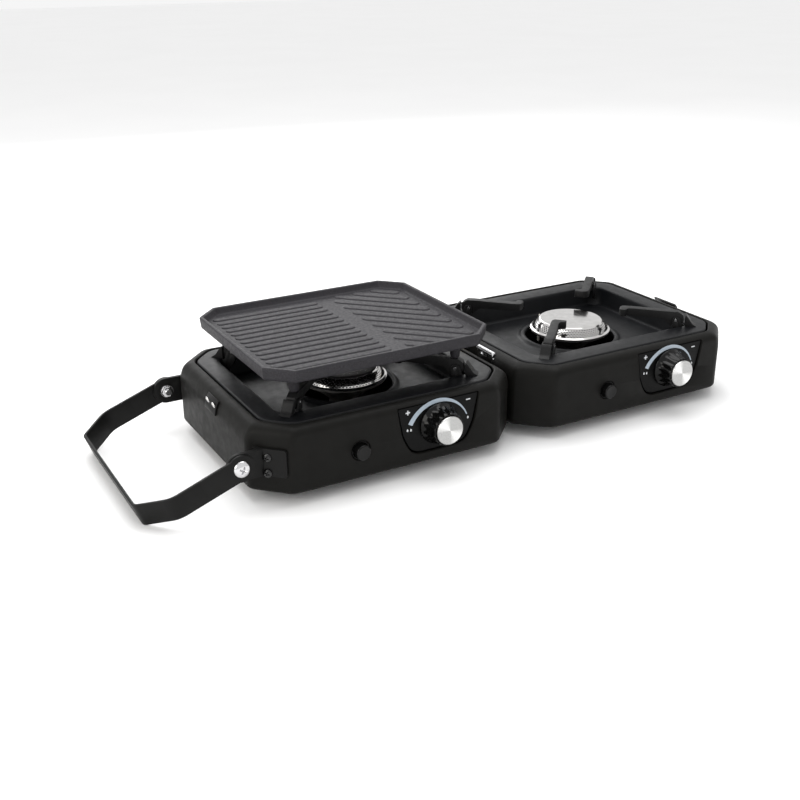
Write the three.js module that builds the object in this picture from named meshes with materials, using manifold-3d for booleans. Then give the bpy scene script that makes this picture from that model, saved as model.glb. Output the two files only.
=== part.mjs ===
// A folding two-burner camping stove: two alike gas modules joined by hinges, with a lift-off
// griddle plate, a carrying handle, and a latch that holds the pair shut.
// Millimetres, +Z up, +X along the pair of modules, +Y towards the back.
// Everything is first placed from the left burner's axis on the ground, then the whole group is
// moved so that its origin is the bottom centre of its bounding box.

import * as THREE from 'three';
import { mergeVertices } from 'three/addons/utils/BufferGeometryUtils.js';
import Module from 'manifold-3d';

const wasm = await Module();
wasm.setup();

// ---------------------------------------------------------------- driving dimensions

const MODULE = { halfX: 154, halfY: 130.5, chamfer: 34, corner: 12, cornerGrowth: 0.6 };
const MODULE_PITCH = 312;
const FOOT_RISE = 12;
const SHELL_HEIGHT = 71;
const WALL = 2;
const BOTTOM_FILLET = 6;
const SHOULDER = { sideInset: 16.5, sideDrop: 21, frontInset: 12.3, frontDrop: 9 };
const GAP = 0.3;

const TOP = FOOT_RISE + SHELL_HEIGHT;
const FRONT = -MODULE.halfY;

const TRAY = {
  edgeGap: 1.1, bandInset: 40, floorInset: 45, bandThickness: 4, sheet: 2, floor: 60, corner: 14,
};
const BURNER = {
  lipRadius: 57, holeRadius: 54, flangeRadius: 48.5, flangeTop: 72, discRadius: 38.5, top: 83, bottom: 30,
};
const MIXER = { radius: 7, z: 38, inletX: 42, inletY: FRONT + 42 };

const SUPPORT = { angle: 41, width: 9.5, tip: 58, depth: 8.5, lean: 4.7, hook: 6.5, pivot: 125, pivotZ: 90,
  top: 100, pinRadius: 2 };
const LUG = { thickness: 2, clearance: 0.4, crown: 3.8 };
const STOP = { near: 10.7, crest: 11.8, far: 24.5, height: 14, width: 11.5 };

const KNOB = {
  x: 44.7, z: 53.3, skirtRadius: 22.5, bodyRadius: 20, neckRadius: 17.5, capRadius: 15.3, reach: 22,
};
const BEZEL = {
  recess: 1.8, thickness: 2, top: 78.3, bottom: 25, topHalf: 48.3, bottomHalf: 28,
  taper: 6, cornerRise: 22, cornerReach: 8,
};
const IGNITER = { x: -46, z: 44, radius: 8.2, sleeve: 9.8, proud: 7.5, travel: 4 };

const GRIDDLE = {
  halfX: 129, halfY: 112, chamfer: 24.3, corner: 3, bottom: 120.6, top: 133.9, rim: 4.5, surface: 126.5,
};
const LEG = { radius: 5, along: 124 };

const HANDLE = { pivotX: -166.2, pivotZ: 47.3, width: 24, thickness: 3, lobe: 14, armY: 114.8, droop: 20.3 };
const HANDLE_PLAN = { straight: 72, reach: 102, crossHalf: 90 };
const EAR = { thickness: 4, radius: 14.5, root: 11, plateFrom: -31, plateTo: 2.5, plateThickness: 3 };
const BOLT = { shank: 4, head: 8.8, headDepth: 3.6, nut: 6.5, nutDepth: 4.5, clearance: 0.1 };

const HINGE = {
  x: MODULE_PITCH / 2, z: 85, length: 30, centreY: 47.5, barrel: 3.2, pin: 1.6, leaf: 1.3, foot: 36,
};
const UNION = { radius: 4.5, halfLength: 13, spigotX: 10.5, spigotRadius: 2.6, spigotBottom: 70 };
const LATCH = {
  width: 48, pivotZ: 57, pivotReach: 5, pinRadius: 1.5, earThickness: 5, plateLow: 38, tipZ: 81,
};
const CATCH = { centreY: -3.5, width: 30, low: 62.5, high: 77, thickness: 2.4 };
const INLET = { x: -94, z: 42, bodyRadius: 7 };
const FEET = { x: 105, y: 78 };

// ---------------------------------------------------------------- materials

const paint = (color, roughness, metalness) =>
  new THREE.MeshStandardMaterial({ color, roughness, metalness });
const HOUSING = paint(0x141413, 0.62, 0.1);
const ENAMEL = paint(0x111214, 0.5, 0.2);
const CAST = paint(0x2a2a2b, 0.75, 0.4);
const STEEL = paint(0x9c9a95, 0.32, 1.0);
const CHROME = paint(0xd8d8da, 0.15, 1.0);
const BRASS = paint(0xb5923f, 0.35, 1.0);
const ALLOY = paint(0x8a8a88, 0.55, 0.9);
const GLOSS = paint(0x0b0b0c, 0.25, 0.0);
const RUBBER = paint(0x101010, 0.9, 0.0);
const CERAMIC = paint(0xe6e2d8, 0.5, 0.0);

// ---------------------------------------------------------------- solids from three.js geometry

// A closed solid from a closed geometry: shared vertices merged and collapsed triangles dropped.
function toSolid(geometry) {
  const plain = geometry.clone();
  plain.deleteAttribute('normal');
  plain.deleteAttribute('uv');
  const merged = mergeVertices(plain, 1e-4);
  const faces = [];
  const index = merged.index.array;
  for (let i = 0; i < index.length; i += 3) {
    const [a, b, c] = [index[i], index[i + 1], index[i + 2]];
    if (a !== b && b !== c && c !== a) faces.push(a, b, c);
  }
  return new wasm.Manifold(new wasm.Mesh({
    numProp: 3,
    vertProperties: new Float32Array(merged.attributes.position.array),
    triVerts: new Uint32Array(faces),
  }));
}

function toGeometry(solid) {
  const mesh = solid.getMesh();
  const geometry = new THREE.BufferGeometry();
  geometry.setAttribute('position', new THREE.BufferAttribute(mesh.vertProperties, 3));
  geometry.setIndex(new THREE.BufferAttribute(mesh.triVerts, 1));
  geometry.computeVertexNormals();
  return geometry;
}

const join = (...solids) => solids.reduce((sum, solid) => sum.add(solid));
const cut = (body, ...tools) => tools.reduce((rest, tool) => rest.subtract(tool), body);

function box(low, high) {
  const size = high.map((value, i) => value - low[i]);
  const geometry = new THREE.BoxGeometry(...size);
  geometry.translate(...low.map((value, i) => value + size[i] / 2));
  return toSolid(geometry);
}

// A solid of revolution about a vertical axis; the profile lists [radius, height], bottom first.
function turned(profile, { x = 0, y = 0, segments = 20 } = {}) {
  const geometry = new THREE.LatheGeometry(profile.map(([r, h]) => new THREE.Vector2(r, h)), segments);
  geometry.rotateX(Math.PI / 2);
  geometry.translate(x, y, 0);
  return toSolid(geometry);
}

// The same about an axis along Y; the profile lists [radius, y], front first.
function turnedAlongY(profile, { x = 0, z = 0, segments = 20 } = {}) {
  const geometry = new THREE.LatheGeometry(profile.map(([r, h]) => new THREE.Vector2(r, h)), segments);
  geometry.translate(x, 0, z);
  return toSolid(geometry);
}

const rod = (radius, low, high, place) =>
  turned([[0, low], [radius, low], [radius, high], [0, high]], place);
const rodAlongY = (radius, front, back, place) =>
  turnedAlongY([[0, front], [radius, front], [radius, back], [0, back]], place);

const extruded = (shape, depth) =>
  new THREE.ExtrudeGeometry(shape, { depth, bevelEnabled: false, curveSegments: 8 });

// A shape drawn in X and Z, extruded along Y from front to back.
function plateXZ(shape, front, back) {
  const geometry = extruded(shape, back - front);
  geometry.rotateX(Math.PI / 2);
  geometry.translate(0, back, 0);
  return toSolid(geometry);
}

function plateXY(shape, low, high) {
  const geometry = extruded(shape, high - low);
  geometry.translate(0, 0, low);
  return toSolid(geometry);
}

const polygon = (points) => new THREE.Shape(points.map(([x, y]) => new THREE.Vector2(x, y)));

// ---------------------------------------------------------------- octagonal outlines

// An octagon with rounded corners, as points anticlockwise. Each of its eight sides is given by its
// distance from the centre, so pushing a side in is a subtraction.
function octagon({ halfX, halfY, chamfer }, insetX, insetY, corner, steps = 2) {
  const diagonal = (halfX + halfY - chamfer) / Math.SQRT2 - (insetX + insetY) / 2;
  const distances = [halfX - insetX, diagonal, halfY - insetY, diagonal];
  const points = [];
  for (let side = 0; side < 8; side += 1) {
    const angle = side * Math.PI / 4;
    const near = distances[side % 4] - corner;
    const next = distances[(side + 1) % 4] - corner;
    const slide = (next - near * Math.SQRT1_2) / Math.SQRT1_2;
    const centreX = near * Math.cos(angle) - slide * Math.sin(angle);
    const centreY = near * Math.sin(angle) + slide * Math.cos(angle);
    for (let step = 0; step <= steps; step += 1) {
      const turn = angle + (step / steps) * Math.PI / 4;
      points.push([centreX + corner * Math.cos(turn), centreY + corner * Math.sin(turn)]);
    }
  }
  return points;
}

// A closed solid through a stack of outlines with equal point counts, lowest first.
function loft(rings) {
  const count = rings[0].points.length;
  const positions = rings.flatMap(({ points, z }) => points.flatMap(([x, y]) => [x, y, z]));
  const faces = [];
  for (let level = 0; level + 1 < rings.length; level += 1) {
    for (let i = 0; i < count; i += 1) {
      const a = level * count + i;
      const b = level * count + (i + 1) % count;
      faces.push(a, b, b + count, a, b + count, a + count);
    }
  }
  const lid = (rings.length - 1) * count;
  for (let i = 1; i + 1 < count; i += 1) {
    faces.push(0, i + 1, i, lid, lid + i, lid + i + 1);
  }
  const geometry = new THREE.BufferGeometry();
  geometry.setAttribute('position', new THREE.Float32BufferAttribute(positions, 3));
  geometry.setIndex(faces);
  return toSolid(geometry);
}

// The module's outline pushed in from each side; its corners are rounder further up the shoulder.
function moduleRing(insetX, insetY, z) {
  const corner = MODULE.corner + MODULE.cornerGrowth * Math.min(insetX, insetY);
  return { points: octagon(MODULE, insetX, insetY, corner), z };
}

const flatRing = (inset, z) => moduleRing(inset, inset, z);
const basinRing = (inset, z) => ({ points: octagon(MODULE, inset, inset, TRAY.corner), z });

// How far the shoulder has curved in at height z: an elliptical quarter that ends level at the top.
function shoulderInset(z, inset, drop) {
  const rise = Math.min(Math.max((z - (TOP - drop)) / drop, 0), 1);
  return inset * (1 - Math.sqrt(1 - rise * rise));
}

const sideInset = (z) => shoulderInset(z, SHOULDER.sideInset, SHOULDER.sideDrop);
const frontInset = (z) => shoulderInset(z, SHOULDER.frontInset, SHOULDER.frontDrop);

// The module's outer skin, or the same skin pushed in all round by `offset`.
function housingBody(offset) {
  const bottom = FOOT_RISE + offset;
  const rings = [0, 45, 90].map((degrees) => {
    const angle = THREE.MathUtils.degToRad(degrees);
    const inset = offset + (BOTTOM_FILLET - offset) * (1 - Math.sin(angle));
    return flatRing(inset, bottom + (BOTTOM_FILLET - offset) * (1 - Math.cos(angle)));
  });
  const depths = [SHOULDER.sideDrop, 13, 7, 2.5, 0.5, 0];
  depths.map((depth) => TOP - depth).forEach((z) => {
    rings.push(moduleRing(sideInset(z) + offset, frontInset(z) + offset, z - offset));
  });
  return loft(rings);
}

// ---------------------------------------------------------------- housing parts, about a module's axis

// The shield-shaped outline of the control panel, widest at the top; `grow` widens it all round.
function bezelOutline(grow) {
  const { topHalf, bottomHalf, taper, cornerRise, cornerReach } = BEZEL;
  const top = BEZEL.top + grow;
  const bottom = BEZEL.bottom - grow;
  const left = KNOB.x - grow;
  const right = KNOB.x + grow;
  const shape = new THREE.Shape();
  shape.moveTo(left - topHalf, top);
  shape.lineTo(left - topHalf + taper, bottom + cornerRise);
  shape.quadraticCurveTo(left - bottomHalf - cornerReach, bottom, KNOB.x - bottomHalf + 4, bottom);
  shape.lineTo(KNOB.x + bottomHalf - 4, bottom);
  shape.quadraticCurveTo(right + bottomHalf + cornerReach, bottom,
    right + topHalf - taper, bottom + cornerRise);
  shape.lineTo(right + topHalf, top);
  return shape;
}

function shell(side) {
  const openings = [
    loft([flatRing(14, FOOT_RISE - 1), flatRing(14, FOOT_RISE + WALL + 1)]),
    loft([moduleRing(SHOULDER.sideInset, SHOULDER.frontInset, TOP - WALL - 2),
      moduleRing(SHOULDER.sideInset, SHOULDER.frontInset, TOP + 1)]),
    plateXZ(bezelOutline(0.4), FRONT - 1, FRONT + 8),
    rodAlongY(IGNITER.sleeve + GAP, FRONT - 1, FRONT + 8, { x: IGNITER.x, z: IGNITER.z }),
    rod(UNION.spigotRadius + GAP, TOP - 12, TOP + 1, { x: side * (HINGE.x - UNION.spigotX), segments: 16 }),
  ];
  if (side > 0) {
    const hole = INLET.bodyRadius + GAP;
    openings.push(rodAlongY(hole, MODULE.halfY - 8, MODULE.halfY + 1, { x: INLET.x, z: INLET.z }));
  }
  return cut(housingBody(0), housingBody(WALL), ...openings);
}

function basePlate() {
  const low = FOOT_RISE + WALL + GAP;
  return loft([flatRing(11.6, low), flatRing(11.6, low + 1.5)]);
}

function tray() {
  const edgeX = SHOULDER.sideInset + TRAY.edgeGap;
  const edgeY = SHOULDER.frontInset + TRAY.edgeGap;
  const { bandInset, floorInset, sheet, floor } = TRAY;
  const band = loft([
    moduleRing(edgeX + 1, edgeY + 1, TOP - TRAY.bandThickness),
    moduleRing(edgeX, edgeY, TOP - 1),
    moduleRing(edgeX + 1, edgeY + 1, TOP),
  ]);
  const { lipRadius, holeRadius } = BURNER;
  const bowl = loft([basinRing(floorInset - 1.5, floor - sheet), basinRing(bandInset - sheet, TOP - 2)]);
  const basin = loft([
    basinRing(floorInset, floor),
    basinRing(bandInset + 0.6, TOP - 1.5),
    basinRing(bandInset - 1, TOP + 0.5),
  ]);
  const lip = turned([[0, floor - sheet], [lipRadius + 2, floor - sheet], [lipRadius + 2, floor],
    [lipRadius, floor + 2.5], [holeRadius, floor + 3], [0, floor + 3]], { segments: 28 });
  const hole = rod(holeRadius, floor - sheet - 1, floor + 5, { segments: 28 });
  const lugs = supportAngles().flatMap(({ angle }) => [-1, 1].map((hand) => lug(angle, hand)));
  const stops = supportAngles().map(({ angle }) => stopBlock(angle));
  return cut(join(cut(join(band, bowl), basin), lip, ...lugs, ...stops), hole);
}

// The sloping block on the band behind each pan support, in line with it. The support leans on the
// block's upright face when it is folded up.
function stopBlock(angle) {
  const { near, crest, far, height, width } = STOP;
  const shape = polygon([[near, TOP - 2], [far, TOP - 2], [far, TOP + 0.4], [far - 4.5, TOP + 3],
    [crest + 2.2, TOP + height - 2.8], [crest, TOP + height], [near, TOP + height - 0.4]]
    .map(([x, z]) => [SUPPORT.pivot + x, z]));
  return plateXZ(shape, -width / 2, width / 2).rotate([0, 0, angle]);
}

// A gusset on the basin wall; a pair of them carries one pan support's pin.
function lug(angle, hand) {
  const { pivot, pivotZ } = SUPPORT;
  const inner = SUPPORT.width / 2 + LUG.clearance;
  const crown = LUG.crown;
  const shape = polygon([[pivot + 9.7, TOP - 16], [pivot + 12, TOP - 2.4], [pivot + 9, TOP - 1.2],
    [pivot + crown, pivotZ], [pivot + 2.6, pivotZ + 2.8], [pivot, pivotZ + crown],
    [pivot - 2.6, pivotZ + 2.8], [pivot - crown, pivotZ], [pivot - crown, pivotZ - 7],
    [pivot + 3, TOP - 13]]);
  const front = hand > 0 ? inner : -inner - LUG.thickness;
  const plate = plateXZ(shape, front, front + LUG.thickness);
  const bore = rodAlongY(SUPPORT.pinRadius + 0.1, front - 1, front + LUG.thickness + 1,
    { x: pivot, z: pivotZ, segments: 12 });
  return cut(plate, bore).rotate([0, 0, angle]);
}

function foot() {
  const top = FOOT_RISE + WALL;
  return turned([[0, 0], [10.5, 0], [12, 2], [11, top], [0, top]], { segments: 14 });
}

// ---------------------------------------------------------------- burner parts

function burnerBody() {
  const { flangeRadius, flangeTop } = BURNER;
  const { bottom } = BURNER;
  const bowl = turned([[0, bottom], [14, bottom], [16, bottom + 2], [16, 46], [30, 58], [44, 66],
    [flangeRadius, flangeTop - 3], [flangeRadius, flangeTop - 1.3], [40, flangeTop - 1.3], [24, 60],
    [10, 50], [0, 48]]);
  const dx = MIXER.inletX;
  const dy = MIXER.inletY;
  const length = Math.hypot(dx, dy);
  const mixer = new THREE.LatheGeometry([[5.4, 6], [7, 6], [MIXER.radius, length - 12], [9.5, length],
    [8, length], [5.4, length - 12], [5.4, 6]].map(([r, h]) => new THREE.Vector2(r, h)), 14);
  mixer.rotateZ(Math.atan2(dy, dx) - Math.PI / 2);
  mixer.translate(0, 0, MIXER.z);
  return join(cut(toSolid(mixer), rod(15, 20, 60)), bowl);
}

// The stainless cap: a thin flange, a sloping perforated wall and a plain crowned disc.
function burnerCap() {
  const { flangeRadius, flangeTop, discRadius, top } = BURNER;
  return turned([[0, top - 3], [discRadius - 3, top - 3], [flangeRadius - 7, flangeTop - 1],
    [flangeRadius, flangeTop - 1], [flangeRadius, flangeTop], [flangeRadius - 4, flangeTop + 0.6],
    [discRadius, top - 1.2],
    [discRadius - 1.5, top], [0, top + 0.3]], { segments: 28 });
}

function electrode() {
  const radius = (BURNER.flangeRadius + BURNER.holeRadius) / 2;
  const place = { x: radius * Math.cos(1.75), y: radius * Math.sin(1.75), segments: 12 };
  return turned([[0, 40], [1.8, 40], [1.8, 70], [0.7, 71], [0.7, 75], [0, 75]], place);
}

// The hand is the side that a support's tip hooks to: towards the middle of the front or back edge.
function supportAngles() {
  const { angle } = SUPPORT;
  return [
    { name: 'back_right', angle, hand: 1 },
    { name: 'back_left', angle: 180 - angle, hand: -1 },
    { name: 'front_left', angle: 180 + angle, hand: 1 },
    { name: 'front_right', angle: -angle, hand: -1 },
  ];
}

// A cast pan support: a slender bar with a hooked tip, a little off radial, and a deep outer end round
// the pin that it turns on.
function panSupport(angle, hand) {
  const { tip, depth, lean, hook, pivot, pivotZ, top, width, pinRadius } = SUPPORT;
  const half = width / 2;
  const low = top - depth;
  const side = polygon([[tip, top - 2.5], [tip, low + 2], [tip + 2.5, low], [pivot - 14, low - 1.2],
    [pivot - 7.5, pivotZ - 3.5], [pivot - 4, pivotZ - 6.4], [pivot, pivotZ - 7.5], [pivot + 5, pivotZ - 6.4],
    [pivot + 8.8, pivotZ - 4], [pivot + 10.1, pivotZ], [pivot + 9.7, pivotZ + 2.8],
    [pivot + 8.3, pivotZ + 5.7], [pivot + 6, pivotZ + 8.1], [pivot + 2.5, top], [tip + 3, top],
    [tip + 1, top - 0.8]]);
  const plan = polygon([[pivot - 7, -half], [pivot + 11, -half], [pivot + 11, half], [pivot - 7, half],
    [tip + 15, half - lean], [tip + 10, 1.2],
    [tip + 8.5, hook - 2], [tip + 6, hook], [tip + 3, hook], [tip + 0.8, hook - 2.2], [tip, 1],
    [tip + 1.4, -4], [tip + 4, -half - lean + 2], [tip + 8, -half - lean], [tip + 14, -half - lean]]
    .map(([x, y]) => [x, hand * y]));
  const bar = plateXZ(side, -20, 20).intersect(plateXY(plan, top - 30, top + 5));
  const reach = half + LUG.clearance + LUG.thickness;
  const pin = rodAlongY(pinRadius, -reach, reach, { x: pivot, z: pivotZ, segments: 12 });
  return join(bar, pin).rotate([0, 0, angle]);
}

// ---------------------------------------------------------------- controls

// The valve, with the fixed end of its spindle standing through the control panel.
function valve() {
  const place = { x: KNOB.x, z: KNOB.z };
  const body = turnedAlongY([[0, FRONT - 8], [4, FRONT - 8], [4, FRONT + 7], [10, FRONT + 7],
    [10, FRONT + 36], [0, FRONT + 36]], place);
  const outlet = box([KNOB.x - 6, FRONT + 22, 32], [KNOB.x + 6, FRONT + 35, KNOB.z]);
  return join(body, outlet);
}

function bezel() {
  const face = FRONT + BEZEL.recess;
  const spindle = rodAlongY(5, face - 1, face + 5, { x: KNOB.x, z: KNOB.z });
  return cut(plateXZ(bezelOutline(0), face, face + BEZEL.thickness), spindle);
}

function knob() {
  const { skirtRadius, bodyRadius, neckRadius, reach } = KNOB;
  const back = FRONT + BEZEL.recess - 0.8;
  const tip = FRONT - reach + 2.5;
  return turnedAlongY([[0, tip], [neckRadius, tip], [bodyRadius, back - 4.5], [skirtRadius, back - 2],
    [skirtRadius, back], [4 + GAP, back], [4 + GAP, FRONT - 8 - GAP], [0, FRONT - 8 - GAP]],
  { x: KNOB.x, z: KNOB.z, segments: 24 });
}

function knobCap() {
  const tip = FRONT - KNOB.reach;
  return turnedAlongY([[0, tip], [KNOB.capRadius - 0.8, tip], [KNOB.capRadius, tip + 0.8],
    [KNOB.capRadius, tip + 2.2], [0, tip + 2.2]], { x: KNOB.x, z: KNOB.z, segments: 24 });
}

function igniterButton() {
  const face = FRONT - IGNITER.proud;
  return turnedAlongY([[0, face], [IGNITER.radius - 1.5, face], [IGNITER.radius, face + 1.5],
    [IGNITER.radius, FRONT + 12], [0, FRONT + 12]], { x: IGNITER.x, z: IGNITER.z, segments: 18 });
}

// The igniter's barrel: a sleeve round the button in front, solid behind its travel.
function igniterBody() {
  const { sleeve, radius, travel } = IGNITER;
  const seat = FRONT + 12 + travel + 1;
  return turnedAlongY([[0, seat], [radius + 0.5, seat], [radius + 0.5, FRONT + 0.6], [sleeve, FRONT + 0.6],
    [sleeve, FRONT + 34], [6, FRONT + 36], [6, FRONT + 48], [0, FRONT + 48]],
  { x: IGNITER.x, z: IGNITER.z, segments: 18 });
}

// ---------------------------------------------------------------- griddle

function griddle() {
  const { bottom, top, rim, surface, corner } = GRIDDLE;
  const ring = (inset, z) => ({ points: octagon(GRIDDLE, inset, inset, corner), z });
  const plate = loft([ring(2.5, bottom), ring(0.6, bottom + 3), ring(0, top - 1), ring(0.8, top)]);
  const pocket = loft([ring(rim + 2, surface), ring(rim, top + 0.2)]);
  const legs = supportAngles().map(({ angle }) => {
    const radians = THREE.MathUtils.degToRad(angle);
    const place = { x: LEG.along * Math.cos(radians), y: LEG.along * Math.sin(radians), segments: 12 };
    const low = SUPPORT.top + GAP;
    return turned([[0, low], [LEG.radius - 1, low], [LEG.radius, low + 1.7], [LEG.radius + 1.5, surface - 2],
      [0, surface - 2]], place);
  });
  return join(cut(plate, pocket), ...legs);
}

// ---------------------------------------------------------------- handle and its brackets

// A flat strap bent in plan into a trapezoidal bail, drooping from its pivots to the ground.
function handle() {
  const { thickness, width, lobe, armY } = HANDLE;
  const { straight, reach, crossHalf } = HANDLE_PLAN;
  const half = thickness / 2;
  const outer = [[8, armY + half], [-straight, armY + half], [-reach - half, crossHalf + half]];
  const inner = [[-reach + half, crossHalf - half], [-straight + 0.8, armY - half], [8, armY - half]];
  const mirrored = (points) => points.map(([x, y]) => [x, -y]).reverse();
  const plan = polygon([...outer, ...mirrored(outer), ...mirrored(inner), ...inner]);
  const strap = plateXY(plan, -width / 2, width / 2);
  const trimmed = cut(strap, box([0, -armY - 5, -width], [20, armY + 5, width]));
  const place = { x: 0, z: 0, segments: 24 };
  const lobes = [-1, 1].map((hand) => rodAlongY(lobe, hand * armY - half, hand * armY + half, place));
  const bore = rodAlongY(BOLT.shank + BOLT.clearance, -armY - 5, armY + 5, place);
  return cut(join(trimmed, ...lobes), bore)
    .rotate([0, -HANDLE.droop, 0])
    .translate([HANDLE.pivotX, 0, HANDLE.pivotZ]);
}

const frontEarFace = -HANDLE.armY + HANDLE.thickness / 2 + GAP;

// An angled bracket for the front pivot: a plate on the corner face and an ear beside the strap.
function handleBracket() {
  const { pivotX, pivotZ } = HANDLE;
  const { radius, thickness, root, plateFrom, plateTo, plateThickness } = EAR;
  const ear = new THREE.Shape();
  ear.absarc(pivotX, pivotZ, radius, Math.PI / 2, 3 * Math.PI / 2, false);
  ear.lineTo(-MODULE.halfX + root, pivotZ - radius);
  ear.lineTo(-MODULE.halfX + root, pivotZ + radius);
  const earPlate = plateXZ(ear, frontEarFace, frontEarFace + thickness);
  const inside = (MODULE.halfX + MODULE.halfY - MODULE.chamfer) / Math.SQRT2 + GAP;
  const cornerPlate = box([inside, plateFrom, pivotZ - radius],
    [inside + plateThickness, plateTo, pivotZ + radius]).rotate([0, 0, 225]);
  const bore = rodAlongY(BOLT.shank + BOLT.clearance, frontEarFace - 1, frontEarFace + thickness + 1,
    { x: pivotX, z: pivotZ, segments: 24 });
  return cut(join(earPlate, cut(cornerPlate, box([-400, -400, 0], [-MODULE.halfX - 3, 0, 100]))), bore);
}

function pivotBolt() {
  const outside = -HANDLE.armY - HANDLE.thickness / 2 - GAP;
  const inside = frontEarFace + EAR.thickness + GAP;
  const { shank, head, headDepth, nut, nutDepth } = BOLT;
  return turnedAlongY([[0, outside - headDepth], [head * 0.7, outside - headDepth + 0.6],
    [head, outside - 0.8], [head, outside], [shank, outside], [shank, inside], [nut, inside],
    [nut, inside + nutDepth], [0, inside + nutDepth]],
  { x: HANDLE.pivotX, z: HANDLE.pivotZ, segments: 24 });
}

// ---------------------------------------------------------------- hinges, gas union, latch, inlet

// One leaf of a butt hinge. The fixed leaf has the two end knuckles, the moving leaf the middle one.
function hingeLeaf(centreY, hand) {
  const { x, z, length, barrel, pin, leaf, foot: leafFoot } = HINGE;
  const end = length / 4;
  const endKnuckles = [[-length / 2, -end - GAP / 2], [end + GAP / 2, length / 2]];
  const middleKnuckle = [[-end + GAP / 2, end - GAP / 2]];
  const near = hand < 0 ? x - 0.2 - leaf : x + 0.2;
  const sheet = (from, to, low, high) => box([near, centreY + from, low], [near + leaf, centreY + to, high]);
  const pieces = (hand < 0 ? endKnuckles : middleKnuckle).map(([from, to]) => join(
    rodAlongY(barrel, centreY + from, centreY + to, { x, z, segments: 14 }),
    sheet(from, to, leafFoot + 20, z),
  ));
  const wing = sheet(-length / 2, length / 2, leafFoot, z - barrel - 2.2);
  const bore = rodAlongY(pin + 0.1, centreY - length, centreY + length, { x, z, segments: 14 });
  return cut(join(wing, ...pieces), bore);
}

function hingePin(centreY) {
  const { x, z, length, pin, barrel } = HINGE;
  const front = centreY - length / 2 - GAP;
  const back = centreY + length / 2;
  return turnedAlongY([[0, front - 1.5], [barrel - 0.6, front - 1.5], [barrel, front - 0.8], [barrel, front],
    [pin, front], [pin, back + 1], [0, back + 1]], { x, z, segments: 14 });
}

// One half of the rotary gas union on the hinge axis: barrel, arm and a spigot down into the shell.
function gasUnion(hand) {
  const { radius, halfLength, spigotX, spigotRadius, spigotBottom } = UNION;
  const near = hand < 0 ? -halfLength : GAP / 2;
  const far = hand < 0 ? -GAP / 2 : halfLength;
  const barrel = rodAlongY(radius, near, far, { x: HINGE.x, z: HINGE.z, segments: 16 });
  const x = HINGE.x + hand * spigotX;
  const reach = hand < 0 ? [x - 3, HINGE.x - 1] : [HINGE.x + 1, x + 3];
  const arm = box([reach[0], hand < 0 ? near : -3, TOP + GAP + 0.2],
    [reach[1], hand < 0 ? 3 : far, HINGE.z + 2.4]);
  const clear = rodAlongY(radius + GAP, hand < 0 ? -GAP / 2 : -halfLength, hand < 0 ? halfLength : GAP / 2,
    { x: HINGE.x, z: HINGE.z, segments: 16 });
  const spigot = rod(spigotRadius, spigotBottom, HINGE.z, { x, segments: 10 });
  return join(barrel, cut(arm, clear), spigot);
}

// A line that follows the side wall and its shoulder, `offset` outside it, as [x, z] points.
function shoulderLine(offset, low, high, steps) {
  const points = [];
  for (let i = 0; i <= steps; i += 1) {
    const z = low + (high - low) * i / steps;
    const slope = (sideInset(z + 0.5) - sideInset(z - 0.5));
    const normal = Math.hypot(1, slope);
    points.push([MODULE.halfX - sideInset(z) + offset / normal, z + offset * slope / normal]);
  }
  return points;
}

// The catch plate riveted over the left wall's shoulder, where the latch hooks on when closed.
function catchPlate() {
  const { centreY, width, low, high, thickness } = CATCH;
  const outer = shoulderLine(GAP + thickness, low, high, 6);
  const inner = shoulderLine(GAP, low, high, 6).reverse();
  const shape = polygon([...outer, ...inner].map(([x, z]) => [-x, z]));
  return plateXZ(shape, centreY - width / 2, centreY + width / 2);
}

const endWall = MODULE_PITCH + MODULE.halfX;

function latchBase() {
  const { width, pivotZ, pivotReach, pinRadius, earThickness, plateLow } = LATCH;
  const face = endWall + GAP;
  const plate = box([face, -width / 2, plateLow], [face + 2, width / 2, pivotZ + 4]);
  const ears = [-1, 1].map((hand) => {
    const inner = width / 2 - earThickness;
    const shape = new THREE.Shape();
    shape.moveTo(face, pivotZ - 7);
    shape.lineTo(face + pivotReach, pivotZ - 3);
    shape.absarc(face + pivotReach, pivotZ, 3, -Math.PI / 2, Math.PI / 2, false);
    shape.lineTo(face, pivotZ + 3.6);
    return hand < 0 ? plateXZ(shape, -width / 2, -inner) : plateXZ(shape, inner, width / 2);
  });
  const bore = rodAlongY(pinRadius + 0.1, -width, width, { x: face + pivotReach, z: pivotZ, segments: 14 });
  return cut(join(plate, ...ears), bore);
}

// The latch lever: a pin through the base's ears, and a plate up over the shoulder with a hooked end.
function latchLever() {
  const { width, pivotZ, pivotReach, pinRadius, earThickness, tipZ } = LATCH;
  const x = endWall + GAP + pivotReach;
  const half = width / 2 - earThickness - GAP;
  const shape = polygon([[x - 1.8, pivotZ - 2], [x + 2, pivotZ - 2.4], [x + 2.6, pivotZ + 1],
    [x + 0.6, tipZ - 10], [x - 2.2, tipZ - 3.5], [x - 5.5, tipZ], [x - 8, tipZ - 1.2], [x - 6.5, tipZ - 3],
    [x - 3.6, tipZ - 6], [x - 1.6, tipZ - 12], [x - 1.8, pivotZ + 2]]);
  const pin = rodAlongY(pinRadius, -width / 2, width / 2, { x, z: pivotZ, segments: 14 });
  return join(plateXZ(shape, -half, half), pin);
}

function gasInlet() {
  const back = MODULE.halfY;
  const { bodyRadius } = INLET;
  return turnedAlongY([[0, back - 18], [6, back - 18], [6, back - 6], [bodyRadius, back - 6],
    [bodyRadius, back + 1], [9, back + 1], [9, back + 5], [4.5, back + 6], [5.3, back + 8],
    [4.3, back + 12], [5.3, back + 12.5], [4.2, back + 17], [2.5, back + 17], [2.5, back - 10],
    [0, back - 10]], { x: INLET.x, z: INLET.z, segments: 14 });
}

// ---------------------------------------------------------------- assembly

const model = new THREE.Group();

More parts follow.
